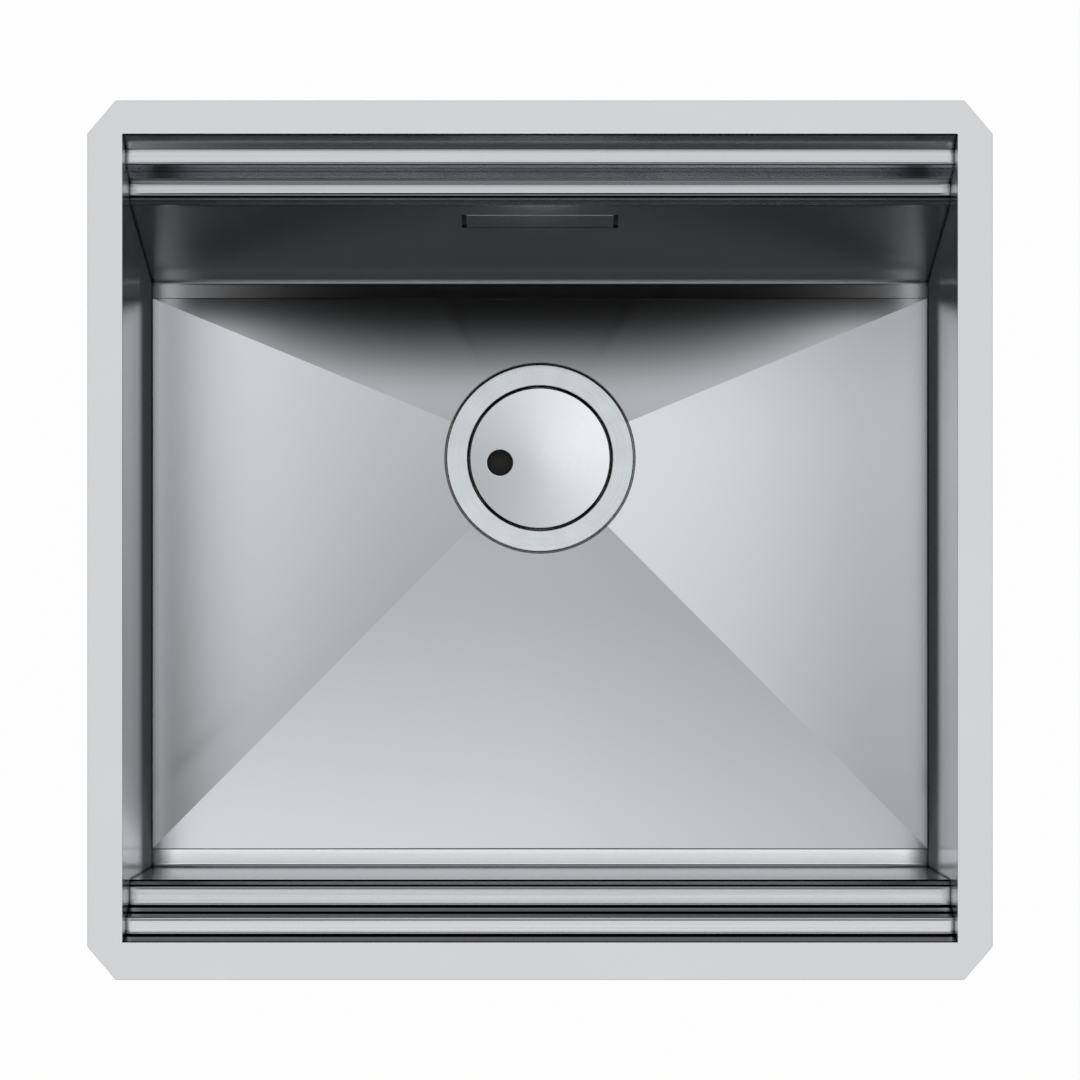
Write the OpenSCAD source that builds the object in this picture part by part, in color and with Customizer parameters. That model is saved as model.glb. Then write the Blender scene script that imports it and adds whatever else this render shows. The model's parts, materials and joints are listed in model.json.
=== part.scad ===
// Undermount kitchen sink: folded stainless bowl with two steps of accessory ledges at the front
// and at the back, a creased floor, a covered basket waste and a flush overflow in the back wall.
// Origin: the middle of the bowl opening, in the plane of the flange's top. +X is right, +Y is the
// back (the overflow side) and +Z is up.

/* [Opening and flange] */
// Width of the bowl opening, left to right
opening_w = 500; // [440:1:600]
// Depth of the bowl opening, front to back
opening_d = 484; // [460:1:520]
// Width of the flange at the left and at the right
flange_side = 21; // [18:0.5:40]
// Width of the flange at the back
flange_back = 20; // [18:0.5:40]
// Width of the flange at the front
flange_front = 22.5; // [18:0.5:40]
// Length of the corner cuts along the front and back edges
corner_cut_x = 17; // [5:0.5:20]
// Length of the corner cuts along the side edges
corner_cut_y = 20; // [5:0.5:22]
// Thickness of the flange plate
flange_t = 1.2; // [0.8:0.1:2]

/* [Bowl] */
// Depth of the bowl, from the flange's top to the edge of the floor
bowl_depth = 195; // [185:1:240]
// Fall of the floor, from its edge to the drain
floor_fall = 8; // [6:0.5:12]
// Distance of the drain from the back of the opening
drain_from_back = 185.6; // [178:0.1:220]
// Thickness of the bowl's sheet
sheet_t = 1.2; // [0.8:0.1:1.5]
// Inside radius of the sheet's small bends
bend_r = 1.2; // [0.8:0.1:1.5]
// Depth of the upper ledges below the flange's top
upper_ledge_depth = 22; // [18:1:26]
// Drop from the upper ledges to the lower ones
ledge_drop = 22; // [18:1:26]
// Drop of the lip below the lower ledges
lip_drop = 6; // [4:0.5:8]
// Inside radius of the bends between the walls and the floor
foot_r = 2.4; // [1.2:0.1:4]

/* [Back wall] */
// How far the top riser leans in
back_riser_1 = 7.25; // [3:0.25:9]
// Width of the upper ledge
back_ledge_1 = 8.15; // [7:0.05:12]
// How far the second riser leans in
back_riser_2 = 10.05; // [5:0.05:12]
// Width of the lower ledge
back_ledge_2 = 6.35; // [6:0.05:12]
// Width of the lip
back_lip = 5.5; // [4:0.25:7]
// Lean of the wall from upright, in degrees
back_lean = 13.7; // [10:0.1:15]
// Width of the flat strip between the wall and the sloping floor
back_strip = 10.2; // [8:0.1:14]

/* [Front wall] */
// How far the top riser leans in
front_riser_1 = 3.9; // [3:0.1:9]
// Width of the upper ledge
front_ledge_1 = 9.3; // [7:0.1:12]
// How far the second riser leans in
front_riser_2 = 6.8; // [5:0.1:10]
// Width of the lower ledge
front_ledge_2 = 10.4; // [6:0.1:14]
// Width of the lip
front_lip = 4.5; // [4:0.25:7]
// Lean of the wall from upright, in degrees
front_lean = 0; // [0:0.1:4]
// Width of the flat strip between the wall and the sloping floor
front_strip = 11.3; // [8:0.1:14]

/* [Drain] */
// Width of the waste's ring, from its mouth to its rim
ring_w = 13.7; // [12.5:0.1:16]
// Height of the ring at its rim
ring_h = 2.2; // [2:0.1:3]
// Fall of the ring's top towards its mouth
ring_fall = 0.9; // [0.4:0.1:1]
// How far the ring lies below the floor around it
ring_sink = 0.6; // [0.2:0.1:1]
// Clearance between the ring and its seat in the floor
ring_gap = 0.8; // [0.5:0.1:1.5]
// Radius of the ring's mouth, round the cover
mouth_r = 46.8; // [46.2:0.1:48]
// Depth of the mouth, from the ring's rim to the basket's shelf
mouth_depth = 8; // [7:0.5:10]
// Width of the shelf that carries the basket
shelf_w = 4.3; // [3.8:0.1:5]
// Depth of the dish, from the ring's rim to its bottom
dish_depth = 43; // [41:1:50]
// Thickness of the dish's wall
dish_t = 1.2; // [0.8:0.1:1.5]
// Radius of the outlet in the dish's bottom
dish_outlet_r = 27; // [24:0.5:28]

/* [Cover and basket] */
// Gap between the drain cover and the ring's mouth
cover_gap = 1.6; // [1.4:0.1:2.4]
// Thickness of the drain cover
cover_t = 1.2; // [1:0.1:1.5]
// Rise of the cover's dome
cover_rise = 2; // [1:0.1:2.5]
// How far the cover's edge lies below the ring's rim
cover_sink = 1.2; // [1:0.1:1.8]
// Radius of the finger hole
finger_r = 8.25; // [7:0.25:9]
// Distance of the finger hole from the cover's centre
finger_out = 26; // [24:0.5:27]
// Direction of the finger hole, in degrees from +X
finger_angle = 186.5; // [0:0.5:360]
// Thickness of the plastic liner under the cover
liner_t = 1.5; // [1:0.1:1.8]
// Depth of the liner's finger pocket
pocket_depth = 11; // [9:0.5:13]
// Number of feet on the liner
foot_count = 6; // [4:1:8]
// Thickness of the basket's rim and bottom
basket_t = 1; // [0.8:0.1:1.2]
// Clearance between the basket and the dish
basket_gap = 0.6; // [0.4:0.1:1]
// Height of the basket's bottom above the dish's bottom
basket_lift = 12; // [11:0.5:14]
// Number of slots in the basket's wall
slot_count = 12; // [8:1:16]
// Travel of the stopper, from open to closed
stopper_travel = 5.7; // [4:0.1:6]
// How far the stopper's seal laps over the edge of the dish's outlet
stopper_lap = 6; // [4:0.5:8]
// Radius of the stopper's knob
knob_r = 9; // [7:0.5:10]

/* [Waste body] */
// Thickness of the rubber rings on both sides of the floor's seat
seal_t = 1.5; // [1:0.1:3]
// Clearance between the dish and the waste body round it
body_gap = 1.2; // [0.8:0.1:3]
// Wall of the waste body
body_t = 2.5; // [2:0.1:3.5]
// Depth of the waste body below the dish's bottom
body_below = 20; // [18:1:30]
// Outer radius of the threaded outlet, over the thread
outlet_r = 23.9; // [23.9:0.1:24.5]
// Length of the threaded outlet
outlet_len = 24; // [20:1:35]
// Wall of the outlet
outlet_wall = 3.4; // [3:0.1:4]

/* [Overflow] */
// Width of the overflow slot in the back wall
slot_w = 96.5; // [92:0.5:104]
// Height of the slot, measured along the wall
slot_h = 24.2; // [22:0.1:26]
// Gap at each end of the cover, where the water enters
end_gap = 2.9; // [2:0.1:5]
// Gap above and below the cover
edge_gap = 0.7; // [0.5:0.1:1]
// Depth of the slot's middle below the flange's top
slot_depth = 80.5; // [78:0.5:90]
// Radius of the pegs behind the cover
peg_r = 3.5; // [3:0.1:4]
// Distance of the pegs from the middle
peg_out = 30; // [24:1:34]
// Thickness of the overflow gasket
gasket_t = 1.5; // [1:0.1:2]
// Thickness of the overflow housing's flange
housing_flange_t = 3; // [2.5:0.1:4]
// Wall of the overflow housing
housing_wall = 2.5; // [2:0.1:3]
// Depth inside the overflow housing, from the wall's back
housing_depth = 25; // [24:0.5:30]
// Radius of the studs that hold the housing
stud_r = 2; // [1.5:0.1:2.2]
// Outer radius of the overflow pipe
pipe_r = 11; // [10:0.5:11]
// Wall of the overflow pipe
pipe_wall = 2; // [1.5:0.1:2.5]
// Radius of the pipe's bend, on its middle line
pipe_bend_r = 30; // [25:1:34]

/* [Sound pads] */
// Thickness of the sound-damping pads
pad_t = 2.5; // [1.5:0.1:4]
// Margin between the pads and the edges of what they are on
pad_margin = 28; // [20:1:34]

/* [Hidden] */
$fn = 96;

steel = "silver";
satin = "gainsboro";
plastic = "dimgray";
black = "black";
soft = "darkslategray";
tan_pad = "darkgray";

// Cutters run past what they cut by this much
past = 1;
// Free space round parts that slide in one another
slide_gap = 0.3;
// Flat facets along each bend of the sheet
bend_steps = 8;

// Radii of the waste's ring and dish
ring_r = mouth_r + ring_w;
throat_r = mouth_r - shelf_w;

// The bowl
half_w = opening_w / 2;
half_d = opening_d / 2;
ledge_1_z = -upper_ledge_depth;
ledge_2_z = ledge_1_z - ledge_drop;
lip_z = ledge_2_z - lip_drop;
floor_z = -bowl_depth;

// Corners of a wall's visible face, as [distance from the middle, height], from above the flange's
// underside down to the edge of the floor. The list's first stretch runs past the flange, to be cut.
function wall_points(riser_1, ledge_1, riser_2, ledge_2, lip, lean, strip) =
    let (
        rise = riser_1 / (upper_ledge_depth - flange_t),
        nose_1 = half_d - riser_1 - ledge_1,
        nose_2 = nose_1 - riser_2 - ledge_2,
        wall_top = nose_2 - lip,
        wall_foot = wall_top - tan(lean) * (lip_z - floor_z)
    )
    [
        [half_d + rise * (past + flange_t), past],
        [half_d - riser_1, ledge_1_z],
        [nose_1, ledge_1_z],
        [nose_1 - riser_2, ledge_2_z],
        [nose_2, ledge_2_z],
        [wall_top, lip_z],
        [wall_foot, floor_z],
        [wall_foot - strip, floor_z]
    ];

back_wall = wall_points(
    back_riser_1, back_ledge_1, back_riser_2, back_ledge_2, back_lip, back_lean, back_strip
);
front_wall = wall_points(
    front_riser_1, front_ledge_1, front_riser_2, front_ledge_2, front_lip, front_lean, front_strip
);
foot = 6;
floor_back = back_wall[foot + 1][0];
floor_front = -front_wall[foot + 1][0];
drain_y = half_d - drain_from_back;
apex_z = floor_z - floor_fall;

// The drain, from the ring down
seat_r = ring_r + ring_gap;
side_run = half_w;
front_run = drain_y - floor_front;
low_floor_z = floor_z - floor_fall * (1 - seat_r / min(side_run, front_run));
ring_z = low_floor_z - ring_sink;
seat_z = ring_z - ring_h - seal_t;
seat_hole_r = mouth_r + dish_t + ring_gap;
shelf_z = ring_z - mouth_depth;
dish_z = ring_z - dish_depth;
collar_depth = 8;
crossbar_h = 2.5;
crossbar_w = 5;
crossbar_z = dish_z - collar_depth;
hub_r = 7.5;

// The clamping screw
screw_r = 3;
screw_hole_r = 3.2;
screw_head_r = 5.5;
screw_head_h = 3.3;
screw_past = 3;
nut_r = 5.8;
nut_h = 5;

// The waste body
body_r = mouth_r + dish_t + body_gap;
cup_r = body_r + body_t;
body_top_z = seat_z - sheet_t - seal_t;
body_flange_r = ring_r - 2;
body_flange_h = 4;
body_bottom_z = dish_z - body_below;
body_plate_t = 3.5;
spider_h = 10;
plate_z = body_bottom_z - body_plate_t;
outlet_end_z = plate_z - outlet_len;
outlet_bore_r = outlet_r - outlet_wall;

// The basket, its stopper and the cover
cover_r = mouth_r - cover_gap;
stopper_r = dish_outlet_r + stopper_lap;
basket_r = throat_r - basket_gap;
basket_rim_r = mouth_r - 1.8;
basket_bottom_z = dish_z + basket_lift;
basket_wall = 0.8;
stem_r = 4;
carrier_t = 1.2;
stopper_seal_t = 2.5;
stopper_z = dish_z + stopper_travel + slide_gap;
knob_top_z = shelf_z - 3;
knob_h = 7;
cover_edge_z = ring_z - cover_sink;
liner_r = cover_r - 1;
foot_w = 3.2;
foot_slot = 14;
pocket_gap = 1.5;
pocket_wall = 1.2;

// The overflow, in the back wall's own plane
wall_top = back_wall[foot - 1];
slot_y = wall_top[0] - tan(back_lean) * (slot_depth + lip_z);
plate_w = slot_w - 2 * end_gap;
plate_h = slot_h - 2 * edge_gap;
box_w = slot_w + 4;
box_h = slot_h + 2;
stud_x = box_w / 2 + housing_wall + 5;
stud_y = 12;
flange_w = 2 * stud_x + 11;
flange_h = box_h + 2 * housing_wall + 16;
stud_len = gasket_t + housing_flange_t + 7;
stud_nut_r = 3.9;
stud_nut_h = 3.2;
peg_socket_wall = 2.5;
peg_depth = housing_depth - 6;

// The pipe runs down behind the wall and forward to the waste body
bore_r = pipe_r - pipe_wall;
pipe_socket_r = pipe_r + 3;
pipe_nut_r = pipe_r + 6.5;
pipe_nut_h = 16;
pipe_seal_h = 4;
socket_depth = 14;
socket_top_z = round(-slot_depth - box_h / 2 - 10);
nut_top_z = socket_top_z - socket_depth + pipe_nut_h - pipe_seal_h - 2;
pipe_y = ceil(
    wall_top[0] - tan(back_lean) * (lip_z - nut_top_z) + sheet_t / cos(back_lean) + pipe_nut_r + 1
);
branch_z = round(dish_z + 8);
branch_stop_y = round(drain_y + cup_r + 10);

// A point turned about the origin
function turned(v, a) = [v[0] * cos(a) - v[1] * sin(a), v[0] * sin(a) + v[1] * cos(a)];

// The unit vector from a to b, and the one square to it on the left
function along(a, b) = (b - a) / norm(b - a);
function left_of(a, b) = turned(along(a, b), 90);

// A list from its end to its start
function reversed(p) = [for (i = [len(p) - 1:-1:0]) p[i]];

// One face of a folded sheet at corner i of its path. The sheet lies to the left of the path.
function bend_points(p, r, i, back) =
    let (
        a = p[i] - p[i - 1],
        b = p[i + 1] - p[i],
        angle = atan2(cross(a, b), a * b),
        way = sign(angle),
        seen_r = way > 0 ? r[i] + sheet_t : r[i],
        side = left_of(p[i - 1], p[i]),
        centre = p[i] - along(p[i - 1], p[i]) * seen_r * tan(abs(angle) / 2) + side * way * seen_r,
        face_r = back ? seen_r - way * sheet_t : seen_r
    )
    [for (k = [0:bend_steps]) centre - turned(side, angle * k / bend_steps) * way * face_r];

// One whole face of a folded sheet: the visible one, or its back
function sheet_face(p, r, back) =
    let (
        n = len(p) - 1,
        off = back ? sheet_t : 0
    )
    concat(
        [p[0] + left_of(p[0], p[1]) * off],
        [for (i = [1:n - 1]) each bend_points(p, r, i, back)],
        [p[n] + left_of(p[n - 1], p[n]) * off]
    );

// Inside bend radii at the corners of a wall, the last one at its foot
wall_radii = [for (i = [0:foot]) i == foot ? foot_r : bend_r];

// A shape in [y, z] made solid along X, over a length centred on the middle
module along_x(length) {
    translate([-length / 2, 0, 0])
        rotate([90, 0, 90])
            linear_extrude(length)
                children();
}

// Everything above the flange's underside, to cut the walls level
module above_flange() {
    translate([-opening_d, -flange_t])
        square([2 * opening_d, 4 * past + flange_t]);
}

// The section of a folded wall
module wall_section(p, r) {
    difference() {
        polygon(concat(sheet_face(p, r, false), reversed(sheet_face(p, r, true))));
        above_flange();
    }
}

// Places its children in the back wall's plane: x to the right, y up the wall, z out into the bowl
module on_back_wall() {
    translate([0, slot_y, -slot_depth])
        rotate([90 - back_lean, 0, 0])
            children();
}

// A block centred in x and y whose top is at z
module slab(w, h, z, t) {
    translate([-w / 2, -h / 2, z - t])
        cube([w, h, t]);
}

// Places its children on the drain's axis
module at_drain() {
    translate([0, drain_y, 0])
        children();
}

// A ring between two radii, from z_low up to z_high
module tube(r_out, r_in, z_low, z_high) {
    difference() {
        translate([0, 0, z_low])
            cylinder(h = z_high - z_low, r = r_out);
        translate([0, 0, z_low - past])
            cylinder(h = z_high - z_low + 2 * past, r = r_in);
    }
}

// The four falling planes of the floor and all above them, lowered by drop
module above_floor(drop) {
    top = floor_z - drop;
    tip = apex_z - drop;
    translate([-half_w, floor_front, top])
        cube([opening_w, floor_back - floor_front, floor_fall]);
    polyhedron(
        points = [
            [-half_w, floor_front, top],
            [half_w, floor_front, top],
            [half_w, floor_back, top],
            [-half_w, floor_back, top],
            [0, drain_y, tip]
        ],
        faces = [[3, 2, 1, 0], [0, 1, 4], [1, 2, 4], [2, 3, 4], [3, 0, 4]]
    );
}

// The thin layer between two depths under the floor, level at its rim
module floor_layer(upper, lower) {
    difference() {
        intersection() {
            above_floor(lower);
            translate([-half_w, floor_front, apex_z - lower - past])
                cube([opening_w, floor_back - floor_front, floor_z - upper - apex_z + lower + past]);
        }
        above_floor(upper);
    }
}

// Flat stainless frame, cut from one sheet, whose top is bonded to the worktop's underside
module flange_frame() {
    w = opening_w + 2 * flange_side;
    left = -w / 2;
    right = w / 2;
    front = -half_d - flange_front;
    back = half_d + flange_back;
    color(steel)
        translate([0, 0, -flange_t])
            linear_extrude(flange_t)
                difference() {
                    polygon([
                        [left + corner_cut_x, front],
                        [right - corner_cut_x, front],
                        [right, front + corner_cut_y],
                        [right, back - corner_cut_y],
                        [right - corner_cut_x, back],
                        [left + corner_cut_x, back],
                        [left, back - corner_cut_y],
                        [left, front + corner_cut_y]
                    ]);
                    translate([-half_w, -half_d])
                        square([opening_w, opening_d]);
                }
}

// Back of the bowl, folded from one sheet, with the overflow slot cut through its leaning wall
module back_panel() {
    color(steel)
        difference() {
            along_x(opening_w)
                wall_section(back_wall, wall_radii);
            on_back_wall()
                slab(slot_w, slot_h, past, sheet_t + 2 * past);
        }
}

// Front of the bowl, folded from one sheet
module front_panel() {
    color(steel)
        mirror([0, 1, 0])
            along_x(opening_w)
                wall_section(front_wall, wall_radii);
}

// Outline of a bowl end: it reaches the backs of the two folded sheets
module end_outline() {
    front_face = [for (p = sheet_face(front_wall, wall_radii, true)) [-p[0], p[1]]];
    difference() {
        polygon(concat(sheet_face(back_wall, wall_radii, true), reversed(front_face)));
        above_flange();
    }
}

// One end of the bowl: a flat plate welded to the folded sheets and to the floor
module side_panel(side) {
    color(steel)
        translate([side * (half_w + sheet_t / 2), 0, 0])
            along_x(sheet_t)
                end_outline();
}

// Left end of the bowl
module left_side_panel() {
    side_panel(-1);
}

// Right end of the bowl
module right_side_panel() {
    side_panel(1);
}

// Floor sheet, creased into four planes, round the seat of the waste
module floor_pan() {
    color(steel)
        difference() {
            floor_layer(0, sheet_t);
            at_drain()
                translate([0, 0, seat_z - bowl_depth])
                    cylinder(h = 2 * bowl_depth, r = seat_r + sheet_t);
        }
}

// Round seat pressed into the floor sheet, which carries the waste's ring
module drain_seat() {
    color(steel)
        difference() {
            at_drain()
                translate([0, 0, seat_z - sheet_t])
                    cylinder(h = floor_z - seat_z, r = seat_r + sheet_t);
            above_floor(0);
            at_drain()
                translate([0, 0, seat_z])
                    cylinder(h = bowl_depth, r = seat_r);
            at_drain()
                translate([0, 0, seat_z - bowl_depth])
                    cylinder(h = 2 * bowl_depth, r = seat_hole_r);
        }
}

// Sound pad on the outside of one end of the bowl
module end_pad(side) {
    low = floor_z + pad_margin;
    high = lip_z - pad_margin;
    front = -front_wall[foot][0] + pad_margin;
    back = back_wall[foot][0] - pad_margin;
    color(tan_pad)
        translate([side * (half_w + sheet_t + pad_t / 2), 0, 0])
            along_x(pad_t)
                translate([front, low])
                    square([back - front, high - low]);
}

// Sound pad on the left end
module pad_left() {
    end_pad(-1);
}

// Sound pad on the right end
module pad_right() {
    end_pad(1);
}

// Sound pad on the outside of the front wall
module pad_front() {
    w = opening_w - 2 * pad_margin;
    h = bowl_depth + lip_z - 2 * pad_margin;
    top = front_wall[foot - 1];
    color(tan_pad)
        translate([0, -top[0], top[1]])
            rotate([90 + front_lean, 0, 180])
                translate([-w / 2, -pad_margin - h, -sheet_t - pad_t])
                    cube([w, h, pad_t]);
}

// Sound pad on the outside of the back wall, beside the overflow's pipe
module back_pad(side) {
    h = (bowl_depth + lip_z) / cos(back_lean) - 2 * pad_margin;
    inner = flange_w / 2 + pad_t;
    w = half_w - pad_margin - inner;
    top = back_wall[foot - 1];
    color(tan_pad)
        translate([0, top[0], top[1]])
            rotate([90 - back_lean, 0, 0])
                translate([side * (inner + w / 2) - w / 2, -pad_margin - h, -sheet_t - pad_t])
                    cube([w, h, pad_t]);
}

// Sound pad on the back wall, left of the overflow's housing
module pad_back_left() {
    back_pad(-1);
}

// Sound pad on the back wall, right of the overflow's housing
module pad_back_right() {
    back_pad(1);
}

// Sound pad under one of the floor's planes, within an outline in [x, y]
module floor_pad(outline) {
    color(tan_pad)
        intersection() {
            floor_layer(sheet_t, sheet_t + pad_t);
            translate([0, 0, apex_z - bowl_depth])
                linear_extrude(2 * bowl_depth)
                    polygon(outline);
        }
}

// Distance from the drain's axis at which the floor pads end
pad_inner = seat_r + sheet_t + 8;

// Outline of the pad under an end's plane, which narrows towards the drain
function end_pad_outline(side) =
    let (
        outer = half_w - pad_margin,
        front_reach = (drain_y - floor_front) * outer / half_w - pad_margin,
        back_reach = (floor_back - drain_y) * outer / half_w - pad_margin / 2,
        share = pad_inner / outer
    )
    [
        [side * outer, drain_y - front_reach],
        [side * outer, drain_y + back_reach],
        [side * pad_inner, drain_y + back_reach * share],
        [side * pad_inner, drain_y - front_reach * share]
    ];

// Sound pad under the left plane
module pad_floor_left() {
    floor_pad(end_pad_outline(-1));
}

// Sound pad under the right plane
module pad_floor_right() {
    floor_pad(end_pad_outline(1));
}

// Sound pad under the front plane
module pad_floor_front() {
    front_y = floor_front + pad_margin;
    inner_y = drain_y - pad_inner;
    reach = half_w * (drain_y - front_y) / (drain_y - floor_front) - pad_margin;
    share = pad_inner / (drain_y - front_y);
    floor_pad([
        [-reach, front_y],
        [reach, front_y],
        [reach * share, inner_y],
        [-reach * share, inner_y]
    ]);
}

// Stainless ring and dish that carry the basket, with a crossbar that takes the screw
module waste_flange() {
    collar_r = dish_outlet_r + dish_t;
    hub_top = crossbar_z + crossbar_h;
    round_r = 0.5;
    color(satin)
        at_drain() {
            rotate_extrude()
                polygon([
                    [ring_r, ring_z - ring_h],
                    [ring_r, ring_z - round_r],
                    [ring_r - round_r, ring_z],
                    [mouth_r + round_r, ring_z - ring_fall],
                    [mouth_r, ring_z - ring_fall - round_r],
                    [mouth_r, shelf_z],
                    [throat_r, shelf_z],
                    [throat_r, dish_z],
                    [dish_outlet_r, dish_z],
                    [dish_outlet_r, crossbar_z],
                    [collar_r, crossbar_z],
                    [collar_r, dish_z - dish_t],
                    [throat_r + dish_t, dish_z - dish_t],
                    [throat_r + dish_t, shelf_z - dish_t],
                    [mouth_r + dish_t, shelf_z - dish_t],
                    [mouth_r + dish_t, ring_z - ring_h]
                ]);
            difference() {
                union() {
                    translate([0, 0, crossbar_z])
                        cylinder(h = crossbar_h, r = hub_r);
                    for (turn = [0, 90])
                        rotate([0, 0, turn])
                            slab(2 * dish_outlet_r + dish_t, crossbar_w, hub_top, crossbar_h);
                }
                translate([0, 0, crossbar_z - past])
                    cylinder(h = crossbar_h + 2 * past, r = screw_hole_r);
            }
        }
}

// Rubber ring between the waste's ring and the floor's seat
module flange_seal() {
    color(soft)
        at_drain()
            tube(ring_r - 1.5, seat_hole_r + 0.7, seat_z, seat_z + seal_t);
}

// Rubber ring between the floor's seat and the waste body
module body_seal() {
    color(soft)
        at_drain()
            tube(body_flange_r - 1, seat_hole_r + 0.7, body_top_z, body_top_z + seal_t);
}

// A moulded socket for the overflow pipe, along +Z, with its open end at z = 0
module pipe_socket(reach) {
    difference() {
        translate([0, 0, -reach])
            cylinder(h = reach, r = pipe_socket_r);
        translate([0, 0, -socket_depth])
            cylinder(h = socket_depth + past, r = pipe_r + slide_gap);
    }
}

// The nut on a pipe socket, which squeezes a seal against its end at z = 0
module pipe_nut() {
    skirt = pipe_nut_h - pipe_seal_h - 2;
    difference() {
        translate([0, 0, -skirt])
            cylinder(h = pipe_nut_h, r = pipe_nut_r);
        translate([0, 0, -skirt - past])
            cylinder(h = skirt + pipe_seal_h + past, r = pipe_socket_r + 0.1);
        cylinder(h = pipe_nut_h + past, r = pipe_r + slide_gap);
        for (k = [0:11])
            rotate([0, 0, 30 * k])
                translate([pipe_nut_r + 1, 0, -skirt - past])
                    cylinder(h = pipe_nut_h + 2 * past, r = 1.8);
    }
}

// The seal of a pipe socket, against its end at z = 0
module pipe_seal() {
    tube(pipe_socket_r - 0.1, pipe_r, 0, pipe_seal_h);
}

// Places its children at the housing's socket, which faces down
module at_housing_socket() {
    translate([0, pipe_y, socket_top_z - socket_depth])
        rotate([180, 0, 0])
            children();
}

// Places its children at the waste body's socket, which faces the back
module at_waste_socket() {
    translate([0, branch_stop_y + socket_depth, branch_z])
        rotate([-90, 0, 0])
            children();
}

// Moulded cup of the waste body, round the dish, with the cross in its bottom that holds the screw
module waste_body() {
    color(plastic)
        difference() {
            at_drain() {
                rotate_extrude()
                    polygon([
                        [body_r, body_top_z],
                        [body_flange_r, body_top_z],
                        [body_flange_r, body_top_z - body_flange_h],
                        [cup_r, body_top_z - body_flange_h],
                        [cup_r, plate_z],
                        [outlet_bore_r, plate_z],
                        [outlet_bore_r, body_bottom_z],
                        [body_r, body_bottom_z]
                    ]);
                translate([0, 0, plate_z])
                    cylinder(h = spider_h, r = hub_r + 1);
                for (turn = [45, 135])
                    rotate([0, 0, turn])
                        slab(2 * outlet_bore_r + outlet_wall, crossbar_w, plate_z + spider_h, spider_h);
            }
            at_drain()
                translate([0, 0, plate_z - past])
                    cylinder(h = spider_h + 2 * past, r = screw_hole_r);
            at_drain()
                translate([0, 0, plate_z - past])
                    cylinder(h = nut_h + past, r = nut_r + slide_gap, $fn = 6);
            branch_bore();
        }
}

// Threaded tail under the cup, moulded with it, which takes the trap's nut
module outlet_tail() {
    color(plastic)
        at_drain()
            tube(outlet_r, outlet_bore_r, outlet_end_z, plate_z);
}

// The overflow's way through the side of the cup and along the branch
module branch_bore() {
    inside = body_r - 3 * past;
    translate([0, drain_y, branch_z])
        rotate([-90, 0, 0])
            translate([0, 0, inside])
                cylinder(h = branch_stop_y + past - drain_y - inside, r = bore_r);
}

// Branch on the side of the cup, moulded with it, which takes the overflow pipe
module overflow_branch() {
    color(plastic)
        difference() {
            at_waste_socket()
                pipe_socket(branch_stop_y + socket_depth - drain_y - body_r);
            at_drain()
                translate([0, 0, plate_z])
                    cylinder(h = body_top_z - plate_z, r = cup_r);
            branch_bore();
        }
}

// Screw that draws the dish and the waste body together
module waste_screw() {
    head_z = crossbar_z + crossbar_h;
    end_z = plate_z - screw_past;
    color(steel)
        at_drain() {
            difference() {
                translate([0, 0, head_z])
                    cylinder(h = screw_head_h, r = screw_head_r);
                translate([-screw_head_r, -0.7, head_z + screw_head_h - 1.6])
                    cube([2 * screw_head_r, 1.4, 1.6 + past]);
            }
            translate([0, 0, end_z])
                cylinder(h = head_z - end_z + past, r = screw_r);
        }
}

// Brass nut in the waste body's hub
module waste_nut() {
    color("goldenrod")
        at_drain()
            difference() {
                translate([0, 0, plate_z + slide_gap])
                    cylinder(h = nut_h - slide_gap, r = nut_r, $fn = 6);
                translate([0, 0, plate_z - past])
                    cylinder(h = nut_h + 2 * past, r = screw_r + 0.05);
            }
}

// Slotted wall of the stainless basket, which hangs by its rim on the shelf
module strainer_basket() {
    slot_low = basket_bottom_z + 5;
    slot_high = shelf_z - 6;
    color(satin)
        at_drain()
            difference() {
                rotate_extrude()
                    polygon([
                        [basket_r - basket_wall, basket_bottom_z],
                        [basket_r, basket_bottom_z],
                        [basket_r, shelf_z],
                        [basket_rim_r, shelf_z],
                        [basket_rim_r, shelf_z + basket_t],
                        [basket_r - basket_wall, shelf_z + basket_t]
                    ]);
                for (k = [0:slot_count - 1])
                    rotate([0, 0, 360 * k / slot_count])
                        translate([basket_r - 3, -1.75, slot_low])
                            cube([6, 3.5, slot_high - slot_low]);
            }
}

// Perforated floor of the basket, with the hole that guides the stopper's stem
module basket_floor() {
    color(satin)
        at_drain()
            difference() {
                tube(basket_r - basket_wall, stem_r + slide_gap, basket_bottom_z, basket_bottom_z + basket_t);
                for (ring = [1:3])
                    for (k = [0:6 * ring - 1])
                        rotate([0, 0, 60 * k / ring])
                            translate([3 + 10 * ring, 0, basket_bottom_z - past])
                                cylinder(h = basket_t + 2 * past, r = 2, $fn = 24);
            }
}

// Stopper: a knob and stem that slide through the basket's bottom and carry the seal
module stopper_knob() {
    carrier_z = stopper_z + stopper_seal_t;
    color(satin)
        at_drain()
            rotate_extrude()
                polygon([
                    [0, carrier_z],
                    [stopper_r - 3, carrier_z],
                    [stopper_r - 3, carrier_z + carrier_t],
                    [stem_r, carrier_z + carrier_t],
                    [stem_r, knob_top_z - knob_h],
                    [knob_r, knob_top_z - 2.5],
                    [knob_r, knob_top_z - 0.6],
                    [knob_r - 0.6, knob_top_z],
                    [0, knob_top_z]
                ]);
}

// Rubber disc under the stopper, which closes the dish's outlet
module stopper_seal() {
    color(soft)
        at_drain()
            translate([0, 0, stopper_z])
                cylinder(h = stopper_seal_t, r = stopper_r);
}

// Height of the cover's dome over its edge, at a radius
dome_r = (cover_r * cover_r + cover_rise * cover_rise) / (2 * cover_rise);
function dome(r) = sqrt(dome_r * dome_r - r * r) - dome_r + cover_rise;

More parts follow.
